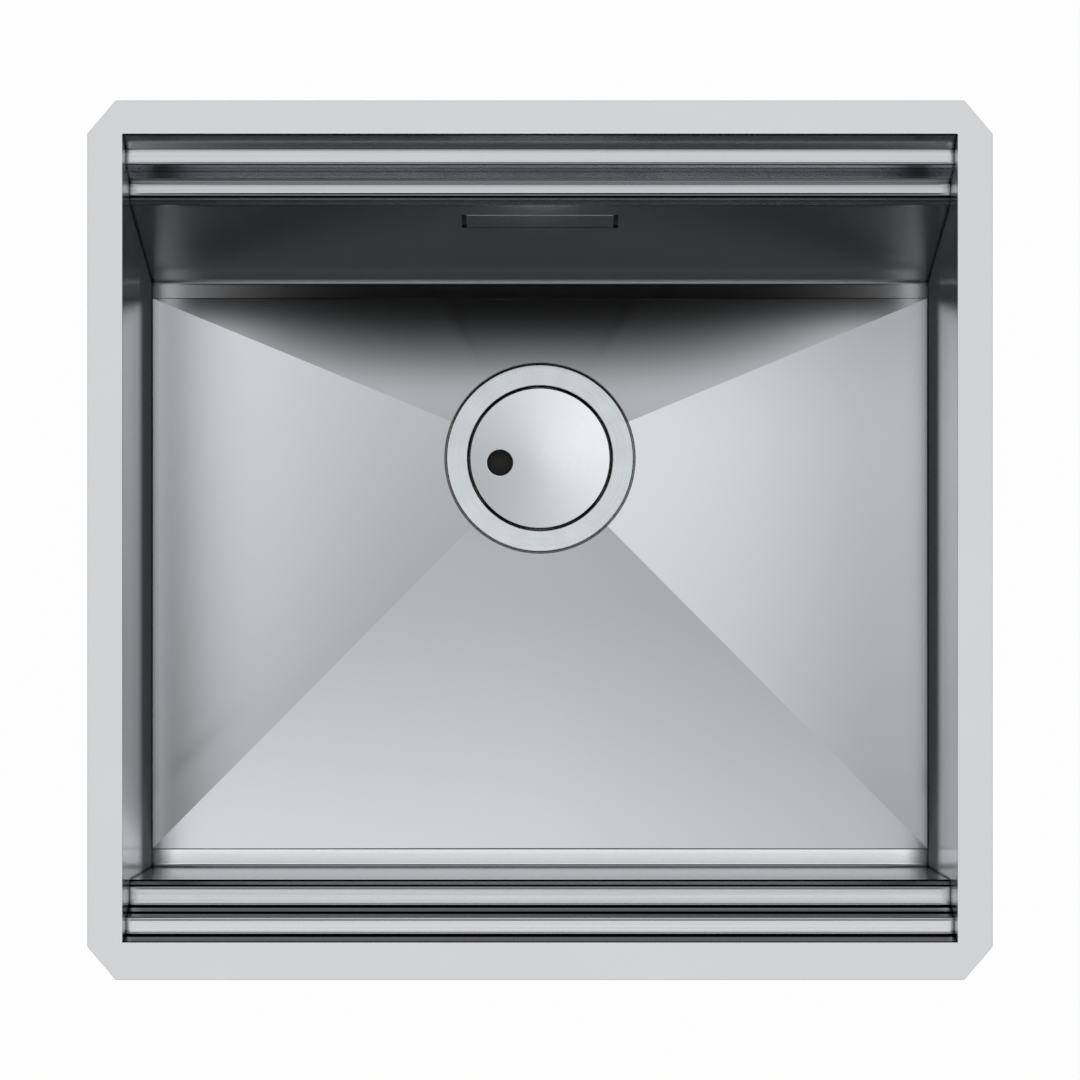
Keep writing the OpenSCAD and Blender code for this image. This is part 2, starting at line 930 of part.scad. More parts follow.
// Points of the dome's profile out to r, at a height over the cover's edge
dome_steps = 10;
function dome_points(r, z) = [for (k = [0:dome_steps]) [r * k / dome_steps, z + dome(r * k / dome_steps)]];

// Places its children at the finger hole
module at_finger_hole() {
    rotate([0, 0, finger_angle])
        translate([finger_out, 0, 0])
            children();
}

// Domed satin cover of the drain, with its finger hole
module drain_cover() {
    color(satin)
        at_drain()
            difference() {
                rotate_extrude()
                    polygon(concat(
                        dome_points(cover_r, cover_edge_z),
                        reversed(dome_points(cover_r, cover_edge_z - cover_t))
                    ));
                at_finger_hole()
                    translate([0, 0, cover_edge_z - 4 * cover_t])
                        cylinder(h = 8 * cover_t, r = finger_r);
            }
}

// Black plastic liner under the cover: feet that stand on the basket's rim, and a finger pocket
module cover_liner() {
    top_z = cover_edge_z - cover_t;
    under_z = top_z - liner_t;
    foot_z = shelf_z + basket_t;
    pocket_r = finger_r + pocket_gap;
    pocket_z = top_z - pocket_depth;
    color(black)
        at_drain()
            difference() {
                union() {
                    intersection() {
                        rotate_extrude()
                            polygon(concat(
                                dome_points(cover_r, top_z),
                                reversed(dome_points(cover_r, under_z))
                            ));
                        translate([0, 0, under_z - past])
                            cylinder(h = 2 * (liner_t + cover_rise + past), r = liner_r);
                    }
                    intersection() {
                        at_finger_hole()
                            translate([0, 0, pocket_z])
                                cylinder(h = pocket_depth + cover_rise, r = pocket_r + pocket_wall);
                        rotate_extrude()
                            polygon(concat(dome_points(cover_r, top_z), [[cover_r, pocket_z], [0, pocket_z]]));
                    }
                    difference() {
                        tube(liner_r, liner_r - foot_w, foot_z, under_z + liner_t / 2);
                        for (k = [0:foot_count - 1])
                            rotate([0, 0, 360 * (k + 0.5) / foot_count])
                                translate([0, -foot_slot / 2, foot_z - past])
                                    cube([cover_r, foot_slot, under_z - foot_z + past]);
                    }
                }
                at_finger_hole()
                    translate([0, 0, pocket_z + pocket_wall])
                        cylinder(h = pocket_depth - pocket_wall - liner_t / 2, r = pocket_r);
                at_finger_hole()
                    translate([0, 0, pocket_z + pocket_wall])
                        cylinder(h = pocket_depth + cover_rise + past, r = finger_r + slide_gap);
            }
}

// Flush rectangular cover of the overflow
module overflow_cover() {
    color(steel)
        on_back_wall()
            slab(plate_w, plate_h, 0, sheet_t);
}

// The two plastic pegs that hold the overflow's cover in the housing
module overflow_pegs() {
    color(black)
        on_back_wall()
            for (side = [-1, 1])
                translate([side * peg_out, 0, -sheet_t - peg_depth])
                    cylinder(h = peg_depth, r = peg_r);
}

// The four places of the studs
module at_studs() {
    for (side = [-1, 1])
        for (up = [-1, 1])
            translate([side * stud_x, up * stud_y, 0])
                children();
}

// Rubber gasket between the back wall and the overflow's housing
module overflow_gasket() {
    color(soft)
        on_back_wall()
            difference() {
                slab(flange_w, flange_h, -sheet_t, gasket_t);
                slab(box_w, box_h, 0, sheet_t + gasket_t + past);
                at_studs()
                    translate([0, 0, -sheet_t - gasket_t - past])
                        cylinder(h = gasket_t + 2 * past, r = stud_r + slide_gap);
            }
}

// Moulded housing behind the overflow slot, with peg sockets and a socket for the pipe
module overflow_housing() {
    front_z = -sheet_t - gasket_t;
    back_z = -sheet_t - housing_depth;
    color(plastic)
        difference() {
            union() {
                on_back_wall() {
                    slab(flange_w, flange_h, front_z, housing_flange_t);
                    slab(
                        box_w + 2 * housing_wall,
                        box_h + 2 * housing_wall,
                        front_z,
                        front_z - back_z + housing_wall
                    );
                }
                at_housing_socket()
                    pipe_socket(socket_depth + 12);
            }
            difference() {
                on_back_wall()
                    slab(box_w, box_h, past, past - back_z);
                on_back_wall()
                    for (side = [-1, 1])
                        translate([side * peg_out, 0, back_z - past])
                            cylinder(h = peg_depth - 6 + past, r = peg_r + slide_gap + peg_socket_wall);
            }
            on_back_wall()
                for (side = [-1, 1])
                    translate([side * peg_out, 0, back_z])
                        cylinder(h = housing_depth + past, r = peg_r + slide_gap);
            on_back_wall()
                at_studs()
                    translate([0, 0, front_z - housing_flange_t - past])
                        cylinder(h = housing_flange_t + 2 * past, r = stud_r + slide_gap);
            translate([0, pipe_y, socket_top_z - past])
                cylinder(h = past - socket_top_z - slot_depth, r = bore_r);
        }
}

// Four studs welded to the back of the wall
module overflow_studs() {
    color(steel)
        on_back_wall()
            at_studs()
                translate([0, 0, -sheet_t - stud_len])
                    cylinder(h = stud_len, r = stud_r);
}

// The four nuts on the studs
module overflow_nuts() {
    z = -sheet_t - gasket_t - housing_flange_t - stud_nut_h;
    color(steel)
        on_back_wall()
            at_studs()
                difference() {
                    translate([0, 0, z])
                        cylinder(h = stud_nut_h, r = stud_nut_r, $fn = 6);
                    translate([0, 0, z - past])
                        cylinder(h = stud_nut_h + 2 * past, r = stud_r + 0.05);
                }
}

// The overflow pipe's path, filled to a radius
module pipe_path(r, beyond) {
    turn_z = branch_z + pipe_bend_r;
    turn_y = pipe_y - pipe_bend_r;
    translate([0, pipe_y, turn_z])
        cylinder(h = socket_top_z - turn_z + beyond, r = r);
    translate([0, turn_y, turn_z])
        rotate([0, 90, 0])
            rotate_extrude(angle = 90)
                translate([pipe_bend_r, 0])
                    circle(r = r);
    translate([0, branch_stop_y - beyond, branch_z])
        rotate([-90, 0, 0])
            cylinder(h = turn_y - branch_stop_y + beyond, r = r);
}

// Rigid pipe from the overflow's housing to the waste body
module overflow_pipe() {
    color(plastic)
        difference() {
            pipe_path(pipe_r, 0);
            pipe_path(bore_r, past);
        }
}

// Nut at the housing's end of the pipe
module housing_pipe_nut() {
    color(plastic)
        at_housing_socket()
            pipe_nut();
}

// Seal at the housing's end of the pipe
module housing_pipe_seal() {
    color(soft)
        at_housing_socket()
            pipe_seal();
}

// Nut at the waste body's end of the pipe
module waste_pipe_nut() {
    color(plastic)
        at_waste_socket()
            pipe_nut();
}

// Seal at the waste body's end of the pipe
module waste_pipe_seal() {
    color(soft)
        at_waste_socket()
            pipe_seal();
}

flange_frame();
back_panel();
front_panel();
left_side_panel();
right_side_panel();
floor_pan();
drain_seat();
pad_left();
pad_right();
pad_front();
pad_back_left();
pad_back_right();
pad_floor_left();
pad_floor_right();
pad_floor_front();
waste_flange();
flange_seal();
body_seal();
waste_body();
outlet_tail();
overflow_branch();
waste_screw();
waste_nut();
strainer_basket();
basket_floor();
stopper_knob();
stopper_seal();
drain_cover();
cover_liner();
overflow_cover();
overflow_pegs();
overflow_gasket();
overflow_housing();
overflow_studs();
overflow_nuts();
overflow_pipe();
housing_pipe_nut();
housing_pipe_seal();
waste_pipe_nut();
waste_pipe_seal();
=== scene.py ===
import json
import math

import bmesh
import bpy
from mathutils import Matrix, Vector


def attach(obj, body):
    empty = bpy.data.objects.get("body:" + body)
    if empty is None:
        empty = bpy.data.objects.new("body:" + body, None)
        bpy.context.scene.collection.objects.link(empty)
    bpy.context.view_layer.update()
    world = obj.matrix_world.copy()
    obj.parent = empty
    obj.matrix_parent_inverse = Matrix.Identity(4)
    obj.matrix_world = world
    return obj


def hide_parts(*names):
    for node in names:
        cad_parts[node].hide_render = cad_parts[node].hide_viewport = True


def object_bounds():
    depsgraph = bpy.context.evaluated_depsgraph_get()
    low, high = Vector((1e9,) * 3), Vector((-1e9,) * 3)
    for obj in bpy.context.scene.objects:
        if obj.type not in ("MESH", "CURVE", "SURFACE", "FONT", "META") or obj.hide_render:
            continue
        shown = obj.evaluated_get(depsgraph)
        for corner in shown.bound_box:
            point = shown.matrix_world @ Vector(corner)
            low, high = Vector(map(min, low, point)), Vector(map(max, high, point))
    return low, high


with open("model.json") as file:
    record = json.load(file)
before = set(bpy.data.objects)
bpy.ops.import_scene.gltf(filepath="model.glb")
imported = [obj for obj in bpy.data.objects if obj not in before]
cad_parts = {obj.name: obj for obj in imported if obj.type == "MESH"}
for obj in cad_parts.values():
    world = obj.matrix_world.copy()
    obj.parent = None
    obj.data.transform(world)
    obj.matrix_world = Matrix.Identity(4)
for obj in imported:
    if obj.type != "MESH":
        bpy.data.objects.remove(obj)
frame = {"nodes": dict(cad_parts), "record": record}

cad_lo, cad_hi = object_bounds()
MM = 0.001

# Camera. It hangs 2.58 m over the flange and looks straight down, a little in front of the
# bowl's middle, with the frame shifted back over the bowl as the photograph's is.
camera_height = 2580
camera_forward = 61
frame_rows = 1080
row_under_camera = 640
overhead_camera = bpy.data.objects.new("overhead_camera", bpy.data.cameras.new("overhead_camera"))
bpy.context.scene.collection.objects.link(overhead_camera)
overhead_camera.location = (0, -camera_forward * MM, camera_height * MM)
overhead_camera.data.sensor_width = 36
overhead_camera.data.lens = 143.7
overhead_camera.data.shift_y = (row_under_camera - frame_rows / 2) / frame_rows
bpy.context.scene.camera = overhead_camera
bpy.context.scene.view_settings.view_transform = "Standard"


# White sweep under the sink. A wide sheet of paper just below the end of the outlet; it shows
# white to the camera and in the steel, keeps a faint shadow of the sink, and is clear from below.
def add(tree, kind, settings=None, links=None):
    """Adds one node to a material: settings set its attributes or inputs, links join its inputs."""
    made = tree.nodes.new(kind)
    for key, value in (settings or {}).items():
        if isinstance(key, str) and hasattr(made, key):
            setattr(made, key, value)
        else:
            made.inputs[key].default_value = value
    for key, source in (links or {}).items():
        tree.links.new(source, made.inputs[key])
    return made


def calc(tree, operation, *values):
    """The result of a Math node; each of its values is a number or another node's output."""
    settings, links = {"operation": operation}, {}
    for slot, value in enumerate(values):
        kept = settings if isinstance(value, (int, float)) else links
        kept[slot] = value
    return add(tree, "ShaderNodeMath", settings, links).outputs[0]


def mixed_shader(tree, share, first, second):
    """A shader that goes from first to second as share goes from 0 to 1."""
    return add(tree, "ShaderNodeMixShader", None, {0: share, 1: first, 2: second}).outputs[0]


def linear(hex_colour):
    """An sRGB colour such as "c8c9cb" in linear values, with full alpha."""
    parts = [int(hex_colour[i:i + 2], 16) / 255 for i in (0, 2, 4)]
    return tuple(c / 12.92 if c <= 0.04045 else ((c + 0.055) / 1.055) ** 2.4 for c in parts) + (1,)


def new_material(name):
    """An empty material, and its node tree."""
    made = bpy.data.materials.new(name)
    made.use_nodes = True
    made.node_tree.nodes.clear()
    return made, made.node_tree


def new_piece(name, mesh, material):
    """A new object in the scene, of this mesh and material."""
    made = bpy.data.objects.new(name, mesh)
    mesh.materials.clear()
    mesh.materials.append(material)
    bpy.context.scene.collection.objects.link(made)
    return made


def seen_directly(tree):
    """1 for rays from the camera and for mirror and glass rays, 0 for the rest."""
    path = add(tree, "ShaderNodeLightPath")
    either = calc(tree, "MAXIMUM", path.outputs["Is Camera Ray"], path.outputs["Is Glossy Ray"])
    return calc(tree, "MAXIMUM", either, path.outputs["Is Transmission Ray"])


white_paper, tree = new_material("white_paper")
paper_glow = 0.98
paper = add(tree, "ShaderNodeBsdfDiffuse", {"Color": linear("f6f6f6")})
glow = add(tree, "ShaderNodeEmission", {"Strength": 1.0})
share = calc(tree, "MULTIPLY", seen_directly(tree), paper_glow)
from_above = mixed_shader(tree, share, paper.outputs[0], glow.outputs[0])
from_below = add(tree, "ShaderNodeBsdfTransparent").outputs[0]
side_seen = add(tree, "ShaderNodeNewGeometry").outputs["Backfacing"]
add(tree, "ShaderNodeOutputMaterial", None, {0: mixed_shader(tree, side_seen, from_above, from_below)})

sweep_half = 6.0
sweep_z = cad_lo.z - 0.5 * MM
corners = ((-sweep_half, -sweep_half), (sweep_half, -sweep_half),
           (sweep_half, sweep_half), (-sweep_half, sweep_half))
sweep_mesh = bpy.data.meshes.new("white_sweep")
sweep_mesh.from_pydata([(x, y, sweep_z) for x, y in corners], [], [(0, 1, 2, 3)])
new_piece("white_sweep", sweep_mesh, white_paper)


# Sheet steel. The bowl is 1.2 mm stainless sheet, 18/10, with a fine satin grain rolled along
# its length; it gives a soft, cool sheen with a faint speckle and no clear scratches.
def metres_to(tree, across_mm, along_mm, turn=0.0):
    """The piece's own coordinates, scaled so that 1 is across_mm in Y and Z and along_mm in X."""
    place = add(tree, "ShaderNodeTexCoord")
    scale = (1 / (along_mm * MM), 1 / (across_mm * MM), 1 / (across_mm * MM))
    return add(tree, "ShaderNodeMapping", {"Rotation": (0, 0, turn), "Scale": scale},
               {"Vector": place.outputs["Object"]}).outputs[0]


def noise(tree, across_mm, along_mm, detail, turn=0.0, roughness=0.5):
    """A noise whose grains are across_mm by along_mm; turn is their direction, from X."""
    return add(tree, "ShaderNodeTexNoise", {"Scale": 1.0, "Detail": detail, "Roughness": roughness},
               {"Vector": metres_to(tree, across_mm, along_mm, turn)}).outputs["Fac"]


def bumped(tree, height, strength, depth_mm, invert=False):
    """The normal of a skin with this height."""
    return add(tree, "ShaderNodeBump", {"Strength": strength, "Distance": depth_mm * MM, "invert": invert},
               {"Height": height}).outputs[0]


def ramp(tree, value, start, end, low=0.0, high=1.0, interpolation="LINEAR"):
    """low where the value is start, high where it is end, and even past both."""
    return add(tree, "ShaderNodeMapRange",
               {"interpolation_type": interpolation, "From Min": start, "From Max": end,
                "To Min": low, "To Max": high}, {"Value": value}).outputs["Result"]


def by_stops(tree, value, stops, unit=1.0):
    """A share that follows stops of (value in units, share), from the lowest up, in straight lines."""
    low, high = stops[0][0], stops[-1][0]
    steps = add(tree, "ShaderNodeValToRGB", None, {0: ramp(tree, value, low * unit, high * unit)})
    elements = steps.color_ramp.elements
    for _ in stops[2:]:
        elements.new(0.5)
    for element, (place, share) in zip(elements, stops):
        element.position = (place - low) / (high - low)
        element.color = (share, share, share, 1)
    return steps.outputs[0]


def by_height(tree, stops):
    """A share that follows stops of (height in mm, share)."""
    place = add(tree, "ShaderNodeTexCoord")
    height = add(tree, "ShaderNodeSeparateXYZ", None, {0: place.outputs["Object"]})
    return by_stops(tree, height.outputs["Z"], stops, MM)


def painted_corner_shade(tree, corner_shade_mm):
    """1 in an inner corner or a narrow gap, 0 from corner_shade_mm out: painted shade, from ambient
    occlusion, that darkens the steel where its faces shelter each other."""
    shelter = add(tree, "ShaderNodeAmbientOcclusion", {"samples": 6, "Distance": corner_shade_mm * MM})
    return ramp(tree, shelter.outputs["AO"], 0.82, 0.52)


def toned(colour, factor):
    """A linear colour made darker or lighter, at most white, with full alpha."""
    return tuple(min(1.0, factor * c) for c in colour[:3]) + (1,)


def mixed_colour(tree, share, first, second):
    """A colour from first to second as share goes from 0 to 1; each is a colour or an output."""
    settings = {"data_type": "RGBA"}
    links = {0: share}
    for slot, colour in ((6, first), (7, second)):
        if isinstance(colour, tuple):
            settings[slot] = colour
        else:
            links[slot] = colour
    return add(tree, "ShaderNodeMix", settings, links).outputs[2]


def on_top(tree, share):
    """The share on faces that look up, and 0 on those that look down."""
    place = add(tree, "ShaderNodeTexCoord")
    facing = add(tree, "ShaderNodeSeparateXYZ", None, {0: place.outputs["Normal"]})
    return calc(tree, "MULTIPLY", share, ramp(tree, facing.outputs["Z"], -0.03, 0.03))


def surface(tree, settings, links):
    """Ends a material with one shader for its surface."""
    shader = add(tree, "ShaderNodeBsdfPrincipled", settings, links)
    add(tree, "ShaderNodeOutputMaterial", None, {0: shader.outputs[0]})


def satin_sheet(name, hex_colour, roughness, grain_mm=0.9, grain_length_mm=14, turn=0.0,
                grain_depth=1.0, corner_shade_mm=0.0, dull_and_painted_shade=(), pressed=(), scale=()):
    """Satin-rolled stainless sheet. The real grain is about 0.1 mm wide, too fine to show, so it is
    drawn grain_mm wide. turn is the grain's direction, from X. dull_and_painted_shade, pressed and
    scale are stops by height: dull_and_painted_shade makes the sheet coarser and, as painted shade,
    darkens its reflection at a glancing angle; on the faces that look up pressed gives it the lines of a
    press, and scale adds painted shade in bands to the painted shade of the inner corners, which
    corner_shade_mm turns on."""
    made, tree = new_material(name)
    grain = noise(tree, grain_mm, grain_length_mm, 3.0, turn, 0.6)
    cloud = noise(tree, 60, 90, 2.0)
    speckle = noise(tree, 0.7, 0.9, 1.0)
    swing = 0.03 * grain_depth
    rough = ramp(tree, grain, 0, 1, roughness - swing, roughness + swing)
    mottle = calc(tree, "MULTIPLY_ADD", speckle, 0.5, calc(tree, "MULTIPLY", cloud, 0.5))
    base = linear(hex_colour)
    colour = mixed_colour(tree, mottle, toned(base, 1 - 0.06 * grain_depth),
                          toned(base, 1 + 0.05 * grain_depth))
    links = {"Normal": bumped(tree, grain, 0.12 * grain_depth, 0.02)}
    if pressed:
        lines = ramp(tree, noise(tree, 2.6, 700, 2.0), 0.36, 0.62)
        shown = calc(tree, "MULTIPLY", lines, on_top(tree, by_height(tree, pressed)))
        colour = mixed_colour(tree, shown, colour, linear("9a999f"))
    tint = None
    # Painted shade: these stops roughen the sheet and darken its reflection at a glancing angle.
    if dull_and_painted_shade:
        tint = by_height(tree, dull_and_painted_shade)
        rough = add(tree, "ShaderNodeMix", {3: 0.42}, {0: tint, 2: rough}).outputs[0]
    # Painted shade: inner corners, and the scale bands on faces that look up, go near black in colour and
    # reflection.
    if corner_shade_mm:
        corners = painted_corner_shade(tree, corner_shade_mm)
        if scale:
            corners = calc(tree, "MAXIMUM", corners, on_top(tree, by_height(tree, scale)))
        colour = mixed_colour(tree, corners, colour, linear("1c1d1f"))
        tint = calc(tree, "MAXIMUM", corners, tint) if tint else corners
    if tint:
        links["Specular Tint"] = mixed_colour(tree, tint, (1, 1, 1, 1), (0, 0, 0, 1))
    links.update({"Base Color": colour, "Roughness": rough})
    surface(tree, {"Metallic": 1.0, "Specular IOR Level": 0.2}, links)
    return made


# Flange. A flat frame laser-cut from sheet, with four cut corners; it is glued under the
# worktop, and its edges are lightly rounded by brushing.
def eased(name, node, material, width_mm, steps=2, sharp=30):
    """A copy of a CAD node's mesh, its flat faces joined and its edges rounded by width_mm."""
    source = frame["nodes"][node].data
    mesh = bpy.data.meshes.new(name)
    mesh.from_pydata([v.co for v in source.vertices], [], [tuple(f.vertices) for f in source.polygons])
    shape = bmesh.new()
    shape.from_mesh(mesh)
    bmesh.ops.remove_doubles(shape, verts=shape.verts, dist=0.002 * MM)
    bmesh.ops.dissolve_limit(shape, angle_limit=math.radians(0.4), verts=shape.verts, edges=shape.edges)
    finish_shape(shape, mesh, sharp)
    piece = new_piece(name, mesh, material)
    if width_mm:
        rounding = piece.modifiers.new("rounding", "BEVEL")
        rounding.width = width_mm * MM
        rounding.segments = steps
        rounding.limit_method = "ANGLE"
        rounding.angle_limit = math.radians(sharp)
        rounding.use_clamp_overlap = True
    even_shading(piece)
    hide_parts(node)
    ride_with(piece, node)
    return piece


def finish_shape(shape, mesh, sharp=35):
    """Writes a bmesh to a mesh: faces outwards and smooth, with edges over sharp degrees left crisp."""
    bmesh.ops.recalc_face_normals(shape, faces=shape.faces)
    for face in shape.faces:
        face.smooth = True
    for edge in shape.edges:
        crisp = len(edge.link_faces) != 2 or edge.calc_face_angle(0) > math.radians(sharp)
        edge.smooth = not crisp
    shape.to_mesh(mesh)
    shape.free()


def even_shading(piece):
    """Large faces keep their own flat shading beside small rounded ones."""
    piece.modifiers.new("even_shading", "WEIGHTED_NORMAL").keep_sharp = True


def ride_with(piece, node):
    """The piece moves with the body that the CAD node belongs to."""
    bodies = frame["record"]["behaviour"]["bodies"]
    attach(piece, next(body for body, nodes in bodies.items() if node in nodes))


flange_steel = satin_sheet("flange_stainless_satin", "d0d1d3", 0.3)
flange_plate = eased("flange_plate", "flange_frame", flange_steel, 0.45, 3)


# Back and front walls. Each is one sheet folded on a press: riser, upper ledge, riser, lower
# ledge, lip, wall, and a narrow strip of floor. The overflow's slot is laser-cut in the back.
opening_w = 500
opening_d = 484
flange_t = 1.2
sheet_t = 1.2
bowl_depth = 195
small_bend_r = 1.2
upper_ledge_depth = 22
ledge_drop = 22
lip_drop = 6
slot_w = 96.5
slot_h = 24.2
slot_depth = 80.5
back_lean = 13.7
foot_r = 2.4
back_strip = 10.2
front_strip = 11.3


def wall_corners(riser_1, ledge_1, riser_2, ledge_2, lip, lean, strip):
    """Corners of a wall's visible face, as (distance from the middle, height), in mm, top down."""
    half_d = opening_d / 2
    top_out = half_d - riser_1
    nose_1 = top_out - ledge_1
    nose_2 = nose_1 - riser_2 - ledge_2
    wall_top = nose_2 - lip
    ledge_1_z = -upper_ledge_depth
    ledge_2_z = ledge_1_z - ledge_drop
    lip_z = ledge_2_z - lip_drop
    wall_foot = wall_top - math.tan(math.radians(lean)) * (lip_z + bowl_depth)
    return [Vector(p) for p in (
        (half_d, -flange_t), (top_out, ledge_1_z), (nose_1, ledge_1_z), (nose_1 - riser_2, ledge_2_z),
        (nose_2, ledge_2_z), (wall_top, lip_z), (wall_foot, -bowl_depth), (wall_foot - strip, -bowl_depth))]


def folded_faces(corners, step_mm=0.35):
    """Both faces of the folded sheet, as pairs of points (visible, hidden), with round bends."""
    first = (corners[1] - corners[0]).normalized()
    pairs = [(corners[0], corners[0] + Vector((sheet_t / first.y * -1, 0)))]
    for i in range(1, len(corners) - 1):
        before, after = corners[i] - corners[i - 1], corners[i + 1] - corners[i]
        angle = math.atan2(before.x * after.y - before.y * after.x, before.dot(after))
        way = math.copysign(1, angle)
        inside_r = foot_r if i == len(corners) - 2 else small_bend_r
        seen_r = inside_r + sheet_t if way > 0 else inside_r
        hidden_r = seen_r - way * sheet_t
        ahead = before.normalized()
        side = Vector((-ahead.y, ahead.x))
        centre = corners[i] - ahead * seen_r * math.tan(abs(angle) / 2) + side * way * seen_r
        steps = max(4, math.ceil(abs(angle) * seen_r / step_mm))
        for k in range(steps + 1):
            turned = Matrix.Rotation(angle * k / steps, 2) @ side * way
            pairs.append((centre - turned * seen_r, centre - turned * hidden_r))
    ahead = (corners[-1] - corners[-2]).normalized()
    pairs.append((corners[-1], corners[-1] + Vector((-ahead.y, ahead.x)) * sheet_t))
    return pairs


def add_row(pairs, height):
    """Adds a pair of points where the straight wall passes this height of its visible face."""
    for i in range(len(pairs) - 1):
        (a, a_hid), (b, b_hid) = pairs[i], pairs[i + 1]
        if a.y > height > b.y:
            share = (a.y - height) / (a.y - b.y)
            pairs.insert(i + 1, (a.lerp(b, share), a_hid.lerp(b_hid, share)))
            return i + 1


def folded_wall(name, node, pairs, side, material, columns, slot_rows=None):
    """A folded sheet across the bowl, between columns in X. slot_rows are the rows of its slot."""
    mesh = bpy.data.meshes.new(name)
    shape = bmesh.new()
    rows = len(pairs)

    def place(x, point):
        return shape.verts.new((x * MM, side * point.x * MM, point.y * MM))

    seen = [[place(x, pair[0]) for pair in pairs] for x in columns]
    hidden = [[place(x, pair[1]) for pair in pairs] for x in columns]
    slot_column = 1
    for c in range(len(columns) - 1):
        for r in range(rows - 1):
            if slot_rows and c == slot_column and slot_rows[0] <= r < slot_rows[1]:
                continue
            shape.faces.new((seen[c][r], seen[c][r + 1], seen[c + 1][r + 1], seen[c + 1][r]))
            shape.faces.new((hidden[c][r], hidden[c][r + 1], hidden[c + 1][r + 1], hidden[c + 1][r]))
        for r in (0, rows - 1):
            shape.faces.new((seen[c][r], seen[c + 1][r], hidden[c + 1][r], hidden[c][r]))
    for c in (0, len(columns) - 1):
        for r in range(rows - 1):
            shape.faces.new((seen[c][r], seen[c][r + 1], hidden[c][r + 1], hidden[c][r]))
    if slot_rows:
        low, high = slot_rows
        for r in range(low, high):
            for c in (slot_column, slot_column + 1):
                shape.faces.new((seen[c][r], seen[c][r + 1], hidden[c][r + 1], hidden[c][r]))
        for r in (low, high):
            a, b = slot_column, slot_column + 1
            shape.faces.new((seen[a][r], seen[b][r], hidden[b][r], hidden[a][r]))
    finish_shape(shape, mesh)
    piece = new_piece(name, mesh, material)
    even_shading(piece)
    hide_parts(node)
    ride_with(piece, node)
    return piece


# Shares by height in mm: the press's lines are clear on the risers, faint on the ledges and gone
# below; the upright wall is rougher, and painted shade darkens its glancing reflection; and painted
# shade darkens bands on the risers and lips.
press_lines = ((-52, 0.0), (-50, 0.6), (-45, 0.8), (-44.3, 0.3), (-43.7, 0.3), (-43, 1.0),
               (-23, 1.0), (-22.3, 0.15), (-21.7, 0.15), (-21, 0.8), (0, 0.8))
wall_dulling_and_painted_shade = ((-195, 0.0), (-190, 0.25), (-56, 0.25), (-52, 0.0), (0, 0.0))
back_painted_shade = ((-52, 0.0), (-50.2, 0.55), (-47.4, 0.8), (-47.1, 0.2), (-46.4, 0.2), (-46.0, 1.0),
              (-44.7, 1.0), (-44.3, 0.0), (-43.6, 0.0), (-43.3, 0.9), (-42.9, 0.9), (-42.5, 0.0),
              (-41.2, 0.0), (-40.5, 0.35), (-36, 0.5), (-26.4, 0.55), (-25.9, 0.0), (-24.4, 0.0),
              (-24.0, 0.7), (-22.6, 0.7), (-22.3, 0.0), (-21.0, 0.0), (-20.6, 0.5), (-19.8, 0.0),
              (-3.4, 0.0), (-3.0, 0.9), (-1.2, 0.9))
front_painted_shade = ((-51, 0.0), (-50.1, 1.0), (-48.9, 1.0), (-48.5, 0.3), (-46.3, 0.3), (-45.9, 1.0),
               (-44.7, 1.0), (-44.3, 0.0), (-43.6, 0.0), (-43.2, 0.95), (-39, 0.95), (-38, 0.0),
               (-33, 0.0), (-32.4, 0.9), (-28.6, 0.9), (-28, 0.0), (-21.2, 0.0), (-20.8, 0.95),
               (-14, 0.9), (-13, 0.1), (-3.4, 0.1), (-2.8, 0.8), (-1.2, 0.8))
wall_steel = satin_sheet("wall_stainless_satin", "d0d1d3", 0.14, corner_shade_mm=3.5, dull_and_painted_shade=wall_dulling_and_painted_shade,
                         pressed=press_lines, scale=back_painted_shade)
front_steel = satin_sheet("front_wall_stainless_satin", "d0d1d3", 0.14, corner_shade_mm=3.5, dull_and_painted_shade=wall_dulling_and_painted_shade,
                          pressed=press_lines, scale=front_painted_shade)
half_w = opening_w / 2
back_corners = wall_corners(riser_1=7.25, ledge_1=8.15, riser_2=10.05, ledge_2=6.35, lip=5.5,
                            lean=back_lean, strip=back_strip)
front_corners = wall_corners(riser_1=3.9, ledge_1=9.3, riser_2=6.8, ledge_2=10.4, lip=4.5,
                             lean=0, strip=front_strip)
back_pairs = folded_faces(back_corners)
slot_rise = slot_h / 2 * math.cos(math.radians(back_lean))
slot_top = add_row(back_pairs, -slot_depth + slot_rise)
slot_bottom = add_row(back_pairs, -slot_depth - slot_rise)
back_wall = folded_wall("back_wall_sheet", "back_panel", back_pairs, 1, wall_steel,
                        [-half_w, -slot_w / 2, slot_w / 2, half_w], (slot_top, slot_bottom))
front_wall = folded_wall("front_wall_sheet", "front_panel", folded_faces(front_corners), -1, front_steel,
                         [-half_w, half_w])


# Side walls. Flat plates cut to the outline of the folded sheets and welded to them from
# outside; the corner inside stays square and crisp. Painted shade darkens the inner corners, and the
# lower part of each plate is rougher, with its glancing reflection darkened by painted shade, most
# near the floor.
side_dulling_and_painted_shade = ((-150, 1.0), (-133, 0.85), (-120, 0.4), (-100, 0.12), (-40, 0.0))
side_steel = satin_sheet("side_stainless_satin", "b8b9bb", 0.22, turn=math.pi / 2, corner_shade_mm=3,
                         dull_and_painted_shade=side_dulling_and_painted_shade)
for node, name in (("left_side_panel", "left_side_sheet"), ("right_side_panel", "right_side_sheet")):
    plate = eased(name, node, side_steel, 0.15)


